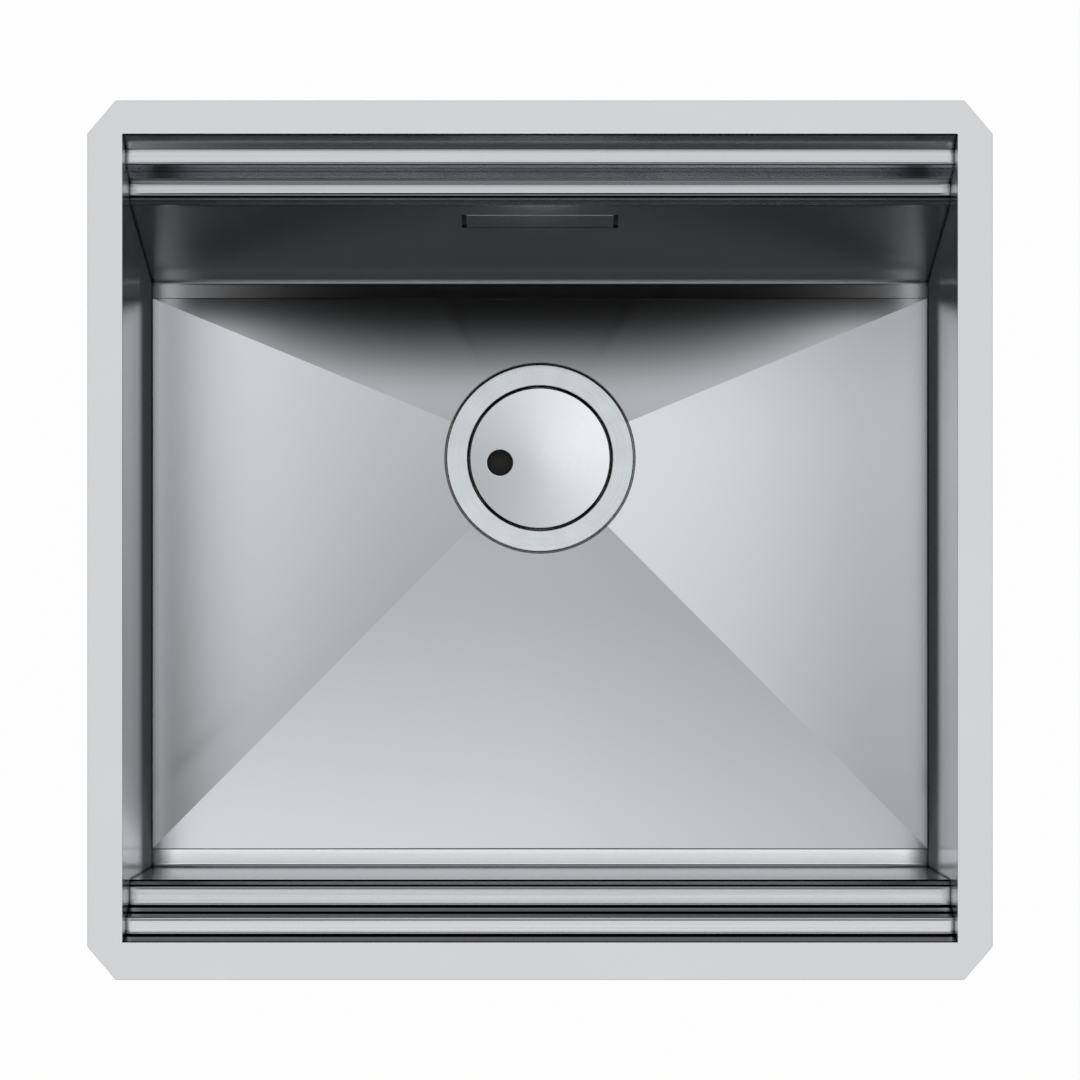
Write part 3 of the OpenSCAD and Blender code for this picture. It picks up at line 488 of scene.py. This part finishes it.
# Floor. One sheet creased on a press along four lines that run from the corners to the drain, so
# that water falls to it; a round seat for the waste's ring is pressed into the middle. Each of its
# four planes is a piece, which keeps the creases crisp and lets a softbox be turned on one alone.
drain_from_back = 185.6
drain_y = opening_d / 2 - drain_from_back
floor_fall = 8
seat_r = 61.3
seat_z = -205.338
seat_hole_r = 48.8
seat_edge_r = 0.5
groove = 0.9
floor_back = back_corners[-1].x
floor_front = -front_corners[-1].x


def floor_reach(angle):
    """Distance from the drain's axis to the floor's edge in this direction, in mm."""
    x, y = math.cos(angle), math.sin(angle)
    reach = []
    if abs(x) > 1e-9:
        reach.append(half_w / abs(x))
    if y > 1e-9:
        reach.append((floor_back - drain_y) / y)
    if y < -1e-9:
        reach.append((floor_front - drain_y) / y)
    return min(reach)


def join_loops(shape, first, second):
    """Adds to a bmesh the faces between two closed loops of vertices, triangles where they meet."""
    for k in range(len(first)):
        n = (k + 1) % len(first)
        corners = []
        for vert in (first[k], first[n], second[n], second[k]):
            if vert not in corners:
                corners.append(vert)
        if len(corners) > 2:
            shape.faces.new(corners)


def floor_plane(first_corner, steps=40):
    """One plane of the floor, as a closed solid: rays from the drain's axis to the floor's edge,
    from one crease to the next."""
    corners = ((half_w, floor_back), (-half_w, floor_back), (-half_w, floor_front), (half_w, floor_front))
    start, end = (math.atan2(y - drain_y, x)
                  for x, y in (corners[first_corner], corners[(first_corner + 1) % 4]))
    if end < start:
        end += 2 * math.pi
    shape = bmesh.new()

    def floor_z(angle, radius):
        return -bowl_depth - floor_fall * (1 - radius / floor_reach(angle))

    rays = []
    for step in range(steps + 1):
        angle = start + (end - start) * step / steps
        reach = floor_reach(angle)
        edge = seat_r + seat_edge_r
        z = floor_z(angle, edge) - seat_edge_r
        rim_z = floor_z(angle, reach)
        top = [(reach, rim_z - groove), (reach - groove / 2, rim_z - groove / 4), (reach - groove, rim_z)]
        for k in range(5):
            turn = math.pi / 2 * k / 4
            top.append((edge - seat_edge_r * math.sin(turn), z + seat_edge_r * math.cos(turn)))
        top += [(seat_r, seat_z), (seat_hole_r, seat_z), (seat_hole_r, seat_z - sheet_t)]
        outer = seat_r + sheet_t
        under = [(outer, seat_z - sheet_t), (outer, floor_z(angle, outer) - sheet_t),
                 (reach, floor_z(angle, reach) - sheet_t)]
        x, y = math.cos(angle), math.sin(angle)
        rays.append([shape.verts.new((r * x * MM, (drain_y + r * y) * MM, z * MM)) for r, z in top + under])
    for ray, following in zip(rays, rays[1:]):
        join_loops(shape, ray, following)
    shape.faces.new(rays[0])
    shape.faces.new(reversed(rays[-1]))
    mesh = bpy.data.meshes.new("floor_plane")
    finish_shape(shape, mesh)
    return mesh


# Painted shade darkens the floor's inner corners and seams.
floor_steel = satin_sheet("floor_stainless_satin", "d3d6d9", 0.15, 0.8, 9, grain_depth=0.4, corner_shade_mm=1.8)
floor_planes = {}
for first_corner, side in enumerate(("back", "left", "front", "right")):
    plane = new_piece("floor_" + side + "_plane", floor_plane(first_corner), floor_steel)
    even_shading(plane)
    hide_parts("floor_pan", "drain_seat")
    ride_with(plane, "floor_pan")
    floor_planes[side] = plane


# Waste ring and dish. Turned and pressed from stainless; the ring is brushed on a lathe, so its
# grain runs round; its sheen lies in radial streaks, partly from its gloss and lamp and partly
# painted into its colour, and a crossbar in the outlet takes the screw.
def rounded(corners, step_deg=15):
    """A closed outline in (radius, height) from corners (radius, height, rounding), in mm."""
    points = []
    for i, (r, z, rounding) in enumerate(corners):
        here = Vector((r, z))
        if not rounding:
            points.append(here)
            continue
        before = (Vector(corners[i - 1][:2]) - here).normalized()
        after = (Vector(corners[(i + 1) % len(corners)][:2]) - here).normalized()
        opening = before.angle(after)
        reach = rounding / math.tan(opening / 2)
        centre = here + (before + after).normalized() * rounding / math.sin(opening / 2)
        start, end = here + before * reach - centre, here + after * reach - centre
        turn = start.angle_signed(end)
        steps = max(2, math.ceil(abs(math.degrees(turn)) / step_deg))
        points += [centre + Matrix.Rotation(-turn * k / steps, 2) @ start for k in range(steps + 1)]
    return points


def polar(radius, angle, height):
    """A point in metres, from a radius and a height in mm and an angle about Z."""
    return radius * math.cos(angle) * MM, radius * math.sin(angle) * MM, height * MM


def turned_shape(outlines, turns=144):
    """A bmesh of closed outlines in (radius, height), each turned about the Z axis."""
    shape = bmesh.new()
    around = [2 * math.pi * k / turns for k in range(turns)]
    for outline in outlines:
        rings = []
        for radius, height in outline:
            if radius < 1e-6:
                rings.append([shape.verts.new((0, 0, height * MM))] * turns)
            else:
                rings.append([shape.verts.new(polar(radius, angle, height)) for angle in around])
        for ring, following in zip(rings, rings[1:] + rings[:1]):
            join_loops(shape, ring, following)
    return shape


def add_block(shape, lo, hi, turn=0.0):
    """Adds a closed block between two corners in mm, turned about Z, to a bmesh."""
    made = bmesh.ops.create_cube(shape, size=1)["verts"]
    middle = (Vector(lo) + Vector(hi)) / 2 * MM
    size = (Vector(hi) - Vector(lo)) * MM
    place = Matrix.Rotation(turn, 4, "Z") @ Matrix.Translation(middle) @ Matrix.Diagonal((*size, 1))
    bmesh.ops.transform(shape, matrix=place, verts=made)


def on_drain(name, shape, material, *nodes):
    """A piece on the drain's axis, whose own origin is on that axis, in place of these nodes."""
    mesh = bpy.data.meshes.new(name)
    finish_shape(shape, mesh)
    piece = new_piece(name, mesh, material)
    piece.location = (0, drain_y * MM, 0)
    even_shading(piece)
    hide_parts(*nodes)
    ride_with(piece, nodes[0])
    return piece


def turned_steel(name, hex_colour, roughness, line_mm, anisotropy=0.0, painted_sheen=0.0, corner_shade_mm=0.0):
    """Stainless brushed round and round. The lines are drawn line_mm apart, coarser than the real
    grit's, so that they show; painted_sheen paints soft radial streaks of sheen into the colour, and
    corner_shade_mm paints shade into gaps and inner corners."""
    made, tree = new_material(name)
    place = add(tree, "ShaderNodeTexCoord")
    flat = add(tree, "ShaderNodeSeparateXYZ", None, {0: place.outputs["Object"]})
    level = add(tree, "ShaderNodeCombineXYZ", None, {0: flat.outputs["X"], 1: flat.outputs["Y"]})
    radius = add(tree, "ShaderNodeVectorMath", {"operation": "LENGTH"}, {0: level.outputs[0]})
    angle = calc(tree, "ARCTAN2", flat.outputs["Y"], flat.outputs["X"])
    out = calc(tree, "DIVIDE", radius.outputs["Value"], line_mm * MM)
    wound = add(tree, "ShaderNodeCombineXYZ", None, {0: out, 1: calc(tree, "MULTIPLY", angle, 2.2)})
    lines = add(tree, "ShaderNodeTexNoise", {"Scale": 1.0, "Detail": 2.0},
                {"Vector": wound.outputs[0]}).outputs["Fac"]
    ray = add(tree, "ShaderNodeVectorMath", {"operation": "NORMALIZE"}, {0: level.outputs[0]})
    streaks = add(tree, "ShaderNodeTexNoise", {"Scale": 3.0, "Detail": 2.0},
                  {"Vector": ray.outputs[0]}).outputs["Fac"]
    # Painted sheen: soft radial streaks make the colour lighter and darker.
    tone = ramp(tree, streaks, 0.3, 0.7, 1 - painted_sheen, 1 + painted_sheen)
    colour = add(tree, "ShaderNodeVectorMath", {"operation": "SCALE", 0: linear(hex_colour)[:3]},
                 {"Scale": tone}).outputs[0]
    grain = add(tree, "ShaderNodeTangent", {"direction_type": "RADIAL", "axis": "Z"})
    links = {"Base Color": colour, "Roughness": ramp(tree, lines, 0, 1, roughness - 0.05, roughness + 0.05),
             "Normal": bumped(tree, lines, 0.1, 0.02), "Tangent": grain.outputs[0]}
    # Painted shade: gaps and inner corners go near black in colour and reflection.
    if corner_shade_mm:
        gaps = painted_corner_shade(tree, corner_shade_mm)
        links["Base Color"] = mixed_colour(tree, gaps, colour, linear("0e0f10"))
        links["Specular Tint"] = mixed_colour(tree, gaps, (1, 1, 1, 1), (0, 0, 0, 1))
    surface(tree, {"Metallic": 1.0, "Anisotropic": anisotropy}, links)
    return made


ring_r = 60.5
ring_z = -201.638
ring_h = 2.2
ring_fall = 0.9
mouth_r = 46.8
mouth_depth = 8
shelf_z = ring_z - mouth_depth
throat_r = 42.5
dish_depth = 43
dish_z = ring_z - dish_depth
dish_t = 1.2
outlet_r = 27
collar_depth = 8
collar_z = dish_z - collar_depth
crossbar_h = 2.5
crossbar_half_w = 2.5
hub_r = 7.5
screw_hole_r = 3.2

ring_outline = rounded([
    (ring_r, ring_z - ring_h, 0.2), (ring_r, ring_z, 0.7), (mouth_r, ring_z - ring_fall, 0.7),
    (mouth_r, shelf_z, 0.5), (throat_r, shelf_z, 0.8), (throat_r, dish_z, 4.0), (outlet_r, dish_z, 1.2),
    (outlet_r, collar_z, 0), (outlet_r + dish_t, collar_z, 0), (outlet_r + dish_t, dish_z - dish_t, 0.5),
    (throat_r + dish_t, dish_z - dish_t, 5.2), (throat_r + dish_t, shelf_z - dish_t, 0.5),
    (mouth_r + dish_t, shelf_z - dish_t, 1.2), (mouth_r + dish_t, ring_z - ring_h, 0.2)])
crossbar_top = collar_z + crossbar_h
hub_outline = rounded([(screw_hole_r, collar_z, 0), (hub_r, collar_z, 0.3), (hub_r, crossbar_top, 0.3),
                       (screw_hole_r, crossbar_top, 0.3)])
dish_shape = turned_shape([ring_outline, hub_outline])
for quarter in range(4):
    add_block(dish_shape, (hub_r - 0.5, -crossbar_half_w, collar_z),
              (outlet_r + dish_t / 2, crossbar_half_w, crossbar_top), quarter * math.pi / 2)
# Painted shade darkens the ring's gaps and inner corners, and painted sheen streaks its colour.
ring_steel = turned_steel("ring_stainless_brushed", "d3d9dd", 0.27, 0.9, 0.35, 0.05, corner_shade_mm=5)
waste_dish = on_drain("waste_ring_and_dish", dish_shape, ring_steel, "waste_flange")

# Drain cover. A slightly domed disc stamped from stainless and blasted to a fine satin, with a
# punched finger hole; it lifts out with the black plastic liner that is clipped under it.
cover_r = 45.2
cover_t = 1.2
cover_rise = 2
cover_sink = 1.2
cover_edge_z = ring_z - cover_sink
finger_r = 8.25
finger_out = 26
finger_angle = math.radians(186.5)
dome_r = (cover_r ** 2 + cover_rise ** 2) / (2 * cover_rise)


def dome(radius):
    """Height of the cover's dome above its edge."""
    return math.sqrt(dome_r ** 2 - radius ** 2) - dome_r + cover_rise


def domed_cover(edge_mm=0.45, spokes=160, rings=22):
    """The cover's disc: spokes from the finger hole to the rim, on both faces, with round edges."""
    shape = bmesh.new()
    hole = Vector((finger_out * math.cos(finger_angle), finger_out * math.sin(finger_angle)))
    bend_steps = 5
    bends = [(edge_mm * (1 - math.cos(turn)), edge_mm * (1 - math.sin(turn)))
             for turn in (math.pi / 2 * k / bend_steps for k in range(bend_steps))]
    loops = []
    for s in range(spokes):
        way = Vector((math.cos(2 * math.pi * s / spokes), math.sin(2 * math.pi * s / spokes)))
        across = hole.dot(way)
        reach = -across + math.sqrt(across ** 2 - hole.length_squared + cover_r ** 2)
        step = (reach - finger_r - 2 * edge_mm) / rings
        face = [(span, cover_edge_z + dome((hole + way * span).length))
                for span in (finger_r + edge_mm + step * k for k in range(rings + 1))]
        section = [(finger_r + back, face[0][1] - down) for back, down in bends] + face
        section += [(reach - back, face[-1][1] - down) for back, down in reversed(bends)]
        section += [(reach, cover_edge_z - cover_t)] + [(span, z - cover_t) for span, z in reversed(face)]
        section.append((finger_r, face[0][1] - cover_t))
        loops.append([shape.verts.new((*((hole + way * span) * MM), z * MM)) for span, z in section])
    for loop, following in zip(loops, loops[1:] + loops[:1]):
        join_loops(shape, loop, following)
    return shape


cover_steel = turned_steel("cover_stainless_blasted", "d6dadd", 0.2, 0.6, 0.0, 0.0)
cover_disc = on_drain("drain_cover_disc", domed_cover(), cover_steel, "drain_cover")


# Black plastic. The liner under the cover and the pegs of the overflow's cover are moulded in
# black ABS: smooth, with a low gloss and a fine spark-eroded texture from the mould.
def moulded(name, hex_colour, roughness, grain_mm, bump_mm=0.02, mottle=0.06, specular=0.5):
    """Moulded plastic or rubber with an even, fine-grained skin."""
    made, tree = new_material(name)
    grain = noise(tree, grain_mm, grain_mm, 3.0)
    base = linear(hex_colour)
    tone = mixed_colour(tree, noise(tree, 25, 25, 2.0), toned(base, 1 - mottle), toned(base, 1 + mottle))
    surface(tree, {"Specular IOR Level": specular},
            {"Base Color": tone, "Roughness": ramp(tree, grain, 0, 1, roughness - 0.06, roughness + 0.06),
             "Normal": bumped(tree, grain, 0.4, bump_mm)})
    return made


black_abs = moulded("black_abs_moulded", "1a1a1a", 0.45, 0.8, specular=0.35)
liner = eased("cover_liner_moulding", "cover_liner", black_abs, 0.25)

# Basket. Deep-drawn from thin stainless, with slots punched in its wall and holes in its floor;
# it hangs by its rim on the dish's shelf and lifts out with what it has caught.
# Faint painted sheen streaks the basket's colour.
basket_steel = turned_steel("basket_stainless_polished", "cfd1d2", 0.2, 0.8, 0.2, 0.03)
for node, name in (("strainer_basket", "basket_wall"), ("basket_floor", "basket_floor_disc")):
    eased(name, node, basket_steel, 0.12)

# Stopper. A turned stainless knob and stem with a rubber disc clamped under it; it slides down
# through the basket's floor and closes the dish's outlet.
eased("stopper_knob_turned", "stopper_knob", basket_steel, 0.2)
seal_rubber = moulded("seal_epdm_rubber", "26282a", 0.62, 0.6, 0.03, specular=0.3)
for node, name in (("stopper_seal", "stopper_seal_disc"), ("flange_seal", "ring_seal"),
                   ("body_seal", "seat_seal"), ("overflow_gasket", "overflow_gasket_sheet"),
                   ("housing_pipe_seal", "upper_pipe_seal"), ("waste_pipe_seal", "lower_pipe_seal")):
    eased(name, node, seal_rubber, 0.3)

# Overflow cover. A flush plate of the wall's own sheet, held off the slot's ends so that water
# runs in on both sides; two black pegs behind it push into the housing.
eased("overflow_plate", "overflow_cover", wall_steel, 0.25, 3)
eased("overflow_peg_pair", "overflow_pegs", black_abs, 0.3)

# Overflow housing and pipe. Grey polypropylene mouldings; the gasket and the flange are drawn
# up against the wall by four studs, and ribbed hand nuts squeeze a seal on each end of the pipe.
grey_pp = moulded("grey_polypropylene_moulded", "6d7073", 0.48, 1.2, 0.03)
pipe_pp = moulded("pipe_polypropylene_extruded", "7b7e81", 0.38, 2.0, 0.015)
for node, name, material, slot in (
        ("overflow_housing", "overflow_housing_moulding", grey_pp, "grey_plastic"),
        ("waste_body", "waste_body_moulding", grey_pp, "grey_plastic"),
        ("overflow_branch", "overflow_branch_moulding", grey_pp, "grey_plastic"),
        ("housing_pipe_nut", "upper_hand_nut", grey_pp, "grey_plastic"),
        ("waste_pipe_nut", "lower_hand_nut", grey_pp, "grey_plastic"),
        ("overflow_pipe", "overflow_pipe_bend", pipe_pp, "pipe_plastic")):
    eased(name, node, material, 0.5)


# Threads. The tail of the waste body has a moulded round thread for the trap's nut, and the
# studs and the clamping screw have metric threads rolled on them.
def threaded(shape, outer, inner, low, high, pitch, depth, turns=96, per_pitch=8, at=Matrix.Identity(4)):
    """Adds to a bmesh a thread about Z from low to high, in mm, over a bore inner (0 for none)."""
    rows = math.ceil((high - low) / pitch * per_pitch)
    run_in = pitch

    def skin(row, step):
        z = low + (high - low) * row / rows
        phase = (z / pitch - step / turns) % 1
        crest = max(0.0, 1 - abs(2 * phase - 1) * 1.6) ** 0.7
        fade = min(1.0, (z - low) / run_in, (high - z) / run_in)
        radius = outer - depth + depth * crest * max(0.0, fade)
        return at @ Vector(polar(radius, 2 * math.pi * step / turns, z))

    rings = [[shape.verts.new(skin(row, step)) for step in range(turns)] for row in range(rows + 1)]
    if inner:
        for z in (high, low):
            rings.append([shape.verts.new(at @ Vector(polar(inner, 2 * math.pi * step / turns, z)))
                          for step in range(turns)])
        rings.append(rings[0])
    else:
        shape.faces.new(rings[0])
        shape.faces.new(rings[-1])
    for ring, following in zip(rings, rings[1:]):
        join_loops(shape, ring, following)


tail_top = -268.138
tail_len = 24
tail_shape = bmesh.new()
threaded(tail_shape, outer=23.9, inner=20.5, low=tail_top - tail_len, high=tail_top, pitch=3.2, depth=1.0)
on_drain("threaded_outlet_tail", tail_shape, grey_pp, "outlet_tail")

fixing_steel = turned_steel("fixing_stainless_a2", "b9bbbd", 0.3, 0.5)
slot_y = back_corners[5].x - math.tan(math.radians(back_lean)) * (slot_depth + back_corners[5].y)
wall_place = Matrix.Translation((0, slot_y * MM, -slot_depth * MM)) @ Matrix.Rotation(
    math.radians(90 - back_lean), 4, "X")
stud_x = 57.75
stud_y = 12
stud_len = 11.5
stud_shape = bmesh.new()
for x in (-stud_x, stud_x):
    for y in (-stud_y, stud_y):
        threaded(stud_shape, outer=2.0, inner=0, low=-sheet_t - stud_len, high=-sheet_t, pitch=0.7,
                 depth=0.3, turns=20, per_pitch=6,
                 at=wall_place @ Matrix.Translation((x * MM, y * MM, 0)))
stud_mesh = bpy.data.meshes.new("housing_studs")
finish_shape(stud_shape, stud_mesh)
studs = new_piece("housing_studs", stud_mesh, fixing_steel)
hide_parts("overflow_studs")
ride_with(studs, "overflow_studs")
eased("stud_nuts", "overflow_nuts", fixing_steel, 0.25)

screw_head_r = 5.5
screw_head_top = crossbar_top + 3.3
screw_end = tail_top - 3
screw_shape = turned_shape([rounded([(0, crossbar_top, 0), (screw_head_r, crossbar_top, 0.2),
                                     (screw_head_r, screw_head_top, 1.2), (0, screw_head_top, 0)])], 64)
threaded(screw_shape, outer=3.0, inner=0, low=screw_end, high=crossbar_top + 1, pitch=1.0, depth=0.4,
         turns=32)
screw = on_drain("clamping_screw", screw_shape, fixing_steel, "waste_screw")

# Brass nut. A plain hexagon of free-cutting brass pressed into the waste body's hub, dulled to a
# warm satin by handling.
brass = turned_steel("brass_turned", "c2a05a", 0.32, 0.5)
eased("hub_nut", "waste_nut", brass, 0.2)


# Sound pads. Self-adhesive bitumen rubber, 2.5 mm thick, pressed on the outside of the sheets;
# dull grey, with a pebbled skin and softly rounded edges.
def pebbled_pad(name, hex_colour):
    """Bitumen rubber with a pebbled skin, its pebbles about 3 mm across."""
    made, tree = new_material(name)
    pebbles = add(tree, "ShaderNodeTexVoronoi", {"feature": "SMOOTH_F1", "Scale": 1.0, "Smoothness": 0.6},
                  {"Vector": metres_to(tree, 3, 3)})
    # The pebbles are lighter on their tops and darker in the hollows between them.
    pebble_top_tone = mixed_colour(tree, noise(tree, 18, 18, 4.0), linear("8d8f90"), linear("a4a6a6"))
    distance = pebbles.outputs["Distance"]
    surface(tree, {"Roughness": 0.78, "Specular IOR Level": 0.3},
            {"Base Color": mixed_colour(tree, distance, pebble_top_tone, linear(hex_colour)),
             "Normal": bumped(tree, distance, 0.7, 0.25, True)})
    return made


pad_rubber = pebbled_pad("bitumen_rubber_pebbled", "7c7e80")
for node in ("pad_left", "pad_right", "pad_front", "pad_back_left", "pad_back_right",
             "pad_floor_left", "pad_floor_right", "pad_floor_front"):
    eased("sound_" + node, node, pad_rubber, 1.0, 4)

# Studio. Level softboxes hang over the bowl, each turned on some of its faces, as when such a
# sink is lit for a catalogue; the room is pale at eye level and dark overhead.
world = bpy.data.worlds.new("pale_room")
world.use_nodes = True
bpy.context.scene.world = world
tree = world.node_tree
tree.nodes.clear()
way = add(tree, "ShaderNodeTexCoord")
height = add(tree, "ShaderNodeSeparateXYZ", None, {0: way.outputs["Generated"]})
strength = by_stops(tree, height.outputs["Z"], ((0, 0.8), (0.25, 0.8), (0.42, 0.86), (0.56, 0.6), (0.61, 0.3),
                                                (0.66, 0.12), (0.72, 0.055), (0.8, 0.03), (0.95, 0), (1, 0)))
path = add(tree, "ShaderNodeLightPath")
room = add(tree, "ShaderNodeBackground", {"Color": linear("ffffff")}, {"Strength": strength})
blank = add(tree, "ShaderNodeBackground", {"Color": linear("ffffff"), "Strength": 1.0})
mixed = mixed_shader(tree, path.outputs["Is Camera Ray"], room.outputs[0], blank.outputs[0])
add(tree, "ShaderNodeOutputWorld", None, {0: mixed})


def softbox(name, x_span, y_span, z, brightness, pieces, cloth=None):
    """A level softbox over a span in mm, whose face shows this brightness, for these pieces. cloth
    makes its face uneven: it builds, from x and y in mm, a tone that is 1 where the face is full."""
    lamp = bpy.data.lights.new(name, "AREA")
    lamp.shape = "RECTANGLE"
    lamp.size = (x_span[1] - x_span[0]) * MM
    lamp.size_y = (y_span[1] - y_span[0]) * MM
    lamp.energy = brightness * math.pi * lamp.size * lamp.size_y
    if cloth:
        lamp.use_nodes = True
        tree = lamp.node_tree
        tree.nodes.clear()
        place = add(tree, "ShaderNodeNewGeometry")
        in_mm = add(tree, "ShaderNodeVectorMath", {"operation": "SCALE", "Scale": 1 / MM},
                    {0: place.outputs["Position"]})
        apart = add(tree, "ShaderNodeSeparateXYZ", None, {0: in_mm.outputs[0]})
        tone = cloth(tree, apart.outputs["X"], apart.outputs["Y"])
        face = add(tree, "ShaderNodeEmission", None, {"Strength": calc(tree, "POWER", tone, 2.2)})
        add(tree, "ShaderNodeOutputLight", None, {0: face.outputs[0]})
    made = bpy.data.objects.new(name, lamp)
    made.location = (sum(x_span) / 2 * MM, sum(y_span) / 2 * MM, z * MM)
    made.visible_camera = False
    bpy.context.scene.collection.objects.link(made)
    lit = bpy.data.collections.new(name + "_pieces")
    for piece in pieces:
        lit.objects.link(piece)
    made.light_linking.receiver_collection = lit


def times(tree, *values):
    """The values multiplied together."""
    product = values[0]
    for value in values[1:]:
        product = calc(tree, "MULTIPLY", product, value)
    return product


def ledge_cloth(tree, x, y):
    """A little weaker over the lower ledge than over the upper one, and brighter inside both."""
    return times(tree, ramp(tree, y, 227, 231, 0.92, 1.0), ramp(tree, y, 216, 220, 1.1, 1.0))


def back_cloth(tree, x, y):
    """Dark over the back wall's foot; it brightens towards the drain and both ends, more to the right."""
    out = calc(tree, "DIVIDE", calc(tree, "ABSOLUTE", x), 245)
    ends = calc(tree, "POWER", out, ramp(tree, x, -1, 1, 4.2, 3.0))
    both = calc(tree, "ADD", ramp(tree, y, 134, 80, 0.0, 0.83), ends)
    foot = ramp(tree, y, 140, 119, 0.0, 1.0, "SMOOTHSTEP")
    return times(tree, calc(tree, "MINIMUM", both, 0.86), foot)


def left_cloth(tree, x, y):
    """Darker beside the left wall, the more so nearer the front, towards the front and at the crease."""
    aside = calc(tree, "ADD", x, ramp(tree, y, -230, 150, -8, 0))
    from_crease = calc(tree, "MULTIPLY_ADD", x, -1.13, y)
    return times(tree, ramp(tree, aside, -292, -228, 0.15, 1.0, "SMOOTHSTEP"),
                 ramp(tree, x, -185, -150, 1.02, 0.95), ramp(tree, x, -150, -60, 1.0, 0.92),
                 ramp(tree, y, 160, -270, 1.01, 0.85), ramp(tree, from_crease, 60, 160, 0.96, 1.0))


def right_cloth(tree, x, y):
    """Brightest beside the drain; it darkens a little to the right, the front and the back corner."""
    return times(tree, ramp(tree, x, 26, 130, 1.06, 0.99), ramp(tree, x, 130, 245, 1.0, 0.84),
                 ramp(tree, y, 110, -270, 1.0, 0.86), ramp(tree, y, 240, 150, 0.83, 1.0),
                 ramp(tree, x, 256, 275, 1.0, 1.15))


def front_cloth(tree, x, y):
    """Brighter towards the front and the left."""
    return times(tree, ramp(tree, y, -20, -191, 0.833, 0.99), ramp(tree, x, 0, 260, 1.0, 0.87),
                 ramp(tree, x, -260, 0, 1.03, 1.0))


def strip_cloth(tree, x, y):
    """Dark but for the two ends of the strip at the back wall's foot; the left end is brighter."""
    nearer = calc(tree, "MAXIMUM", ramp(tree, x, -300, 0, 1.0, 0.0), ramp(tree, x, 330, 0, 1.0, 0.0))
    return times(tree, nearer, nearer, nearer)


def ring_cloth(tree, x, y):
    """Brighter towards the left front and the right back, for the radial sheen in the brushed ring."""
    away = calc(tree, "ABSOLUTE", calc(tree, "SUBTRACT", calc(tree, "ADD", x, y), 66))
    return times(tree, ramp(tree, away, 0, 36, 0.93, 1.06), ramp(tree, y, 50, 125, 1.0, 0.93))


def cover_cloth(tree, x, y):
    """Brightest to the right and a little to the back, in a cone about the middle of the cover."""
    flat = add(tree, "ShaderNodeCombineXYZ", None, {0: x, 1: calc(tree, "SUBTRACT", y, 90)})
    way = add(tree, "ShaderNodeVectorMath", {"operation": "NORMALIZE"}, {0: flat.outputs[0]})
    brightest = math.radians(25)
    facing = add(tree, "ShaderNodeVectorMath",
                 {"operation": "DOT_PRODUCT", 1: (math.cos(brightest), math.sin(brightest), 0)},
                 {0: way.outputs[0]})
    return ramp(tree, facing.outputs["Value"], -1, 1, 0.82, 1.12)


rest_of_pieces = [o for o in bpy.context.scene.objects if o.type == "MESH"
                  and o not in (flange_plate, back_wall, front_wall, waste_dish, cover_disc)
                  and o not in floor_planes.values()]
softbox("flange_softbox", (-700, 700), (-700, 700), 450, 1.03, [flange_plate])
softbox("back_ledge_softbox", (-400, 400), (209, 420), 8, 0.97, [back_wall], ledge_cloth)
softbox("back_strip_softbox", (-300, 300), (150, 200), 20, 1.0, [back_wall], strip_cloth)
softbox("back_foot_softbox", (-260, 260), (5, 70), 0, 0.08, [back_wall])
softbox("front_ledge_softbox", (-400, 400), (-420, -217), 120, 1.06, [front_wall])
softbox("front_riser_softbox", (-400, 400), (-180, -40), 120, 0.35, [front_wall])
softbox("front_strip_softbox", (-260, 260), (-207, -165), -60, 1.2, [front_wall])
softbox("floor_back_softbox", (-400, 400), (45, 150), 20, 1.0, [floor_planes["back"]], back_cloth)
softbox("floor_left_softbox", (-600, 100), (-285, 500), 650, 1.0, [floor_planes["left"]], left_cloth)
softbox("floor_right_softbox", (-100, 600), (-285, 500), 650, 1.0, [floor_planes["right"]], right_cloth)
softbox("floor_front_softbox", (-600, 600), (-600, 50), 40, 1.0, [floor_planes["front"]], front_cloth)
softbox("ring_softbox", (-95, 95), (-20, 155), 40, 1.0, [waste_dish], ring_cloth)
softbox("cover_softbox", (-420, 420), (-330, 510), 600, 1.0, [cover_disc], cover_cloth)
softbox("fill_softbox", (-500, 500), (-500, 500), 600, 0.9, rest_of_pieces)
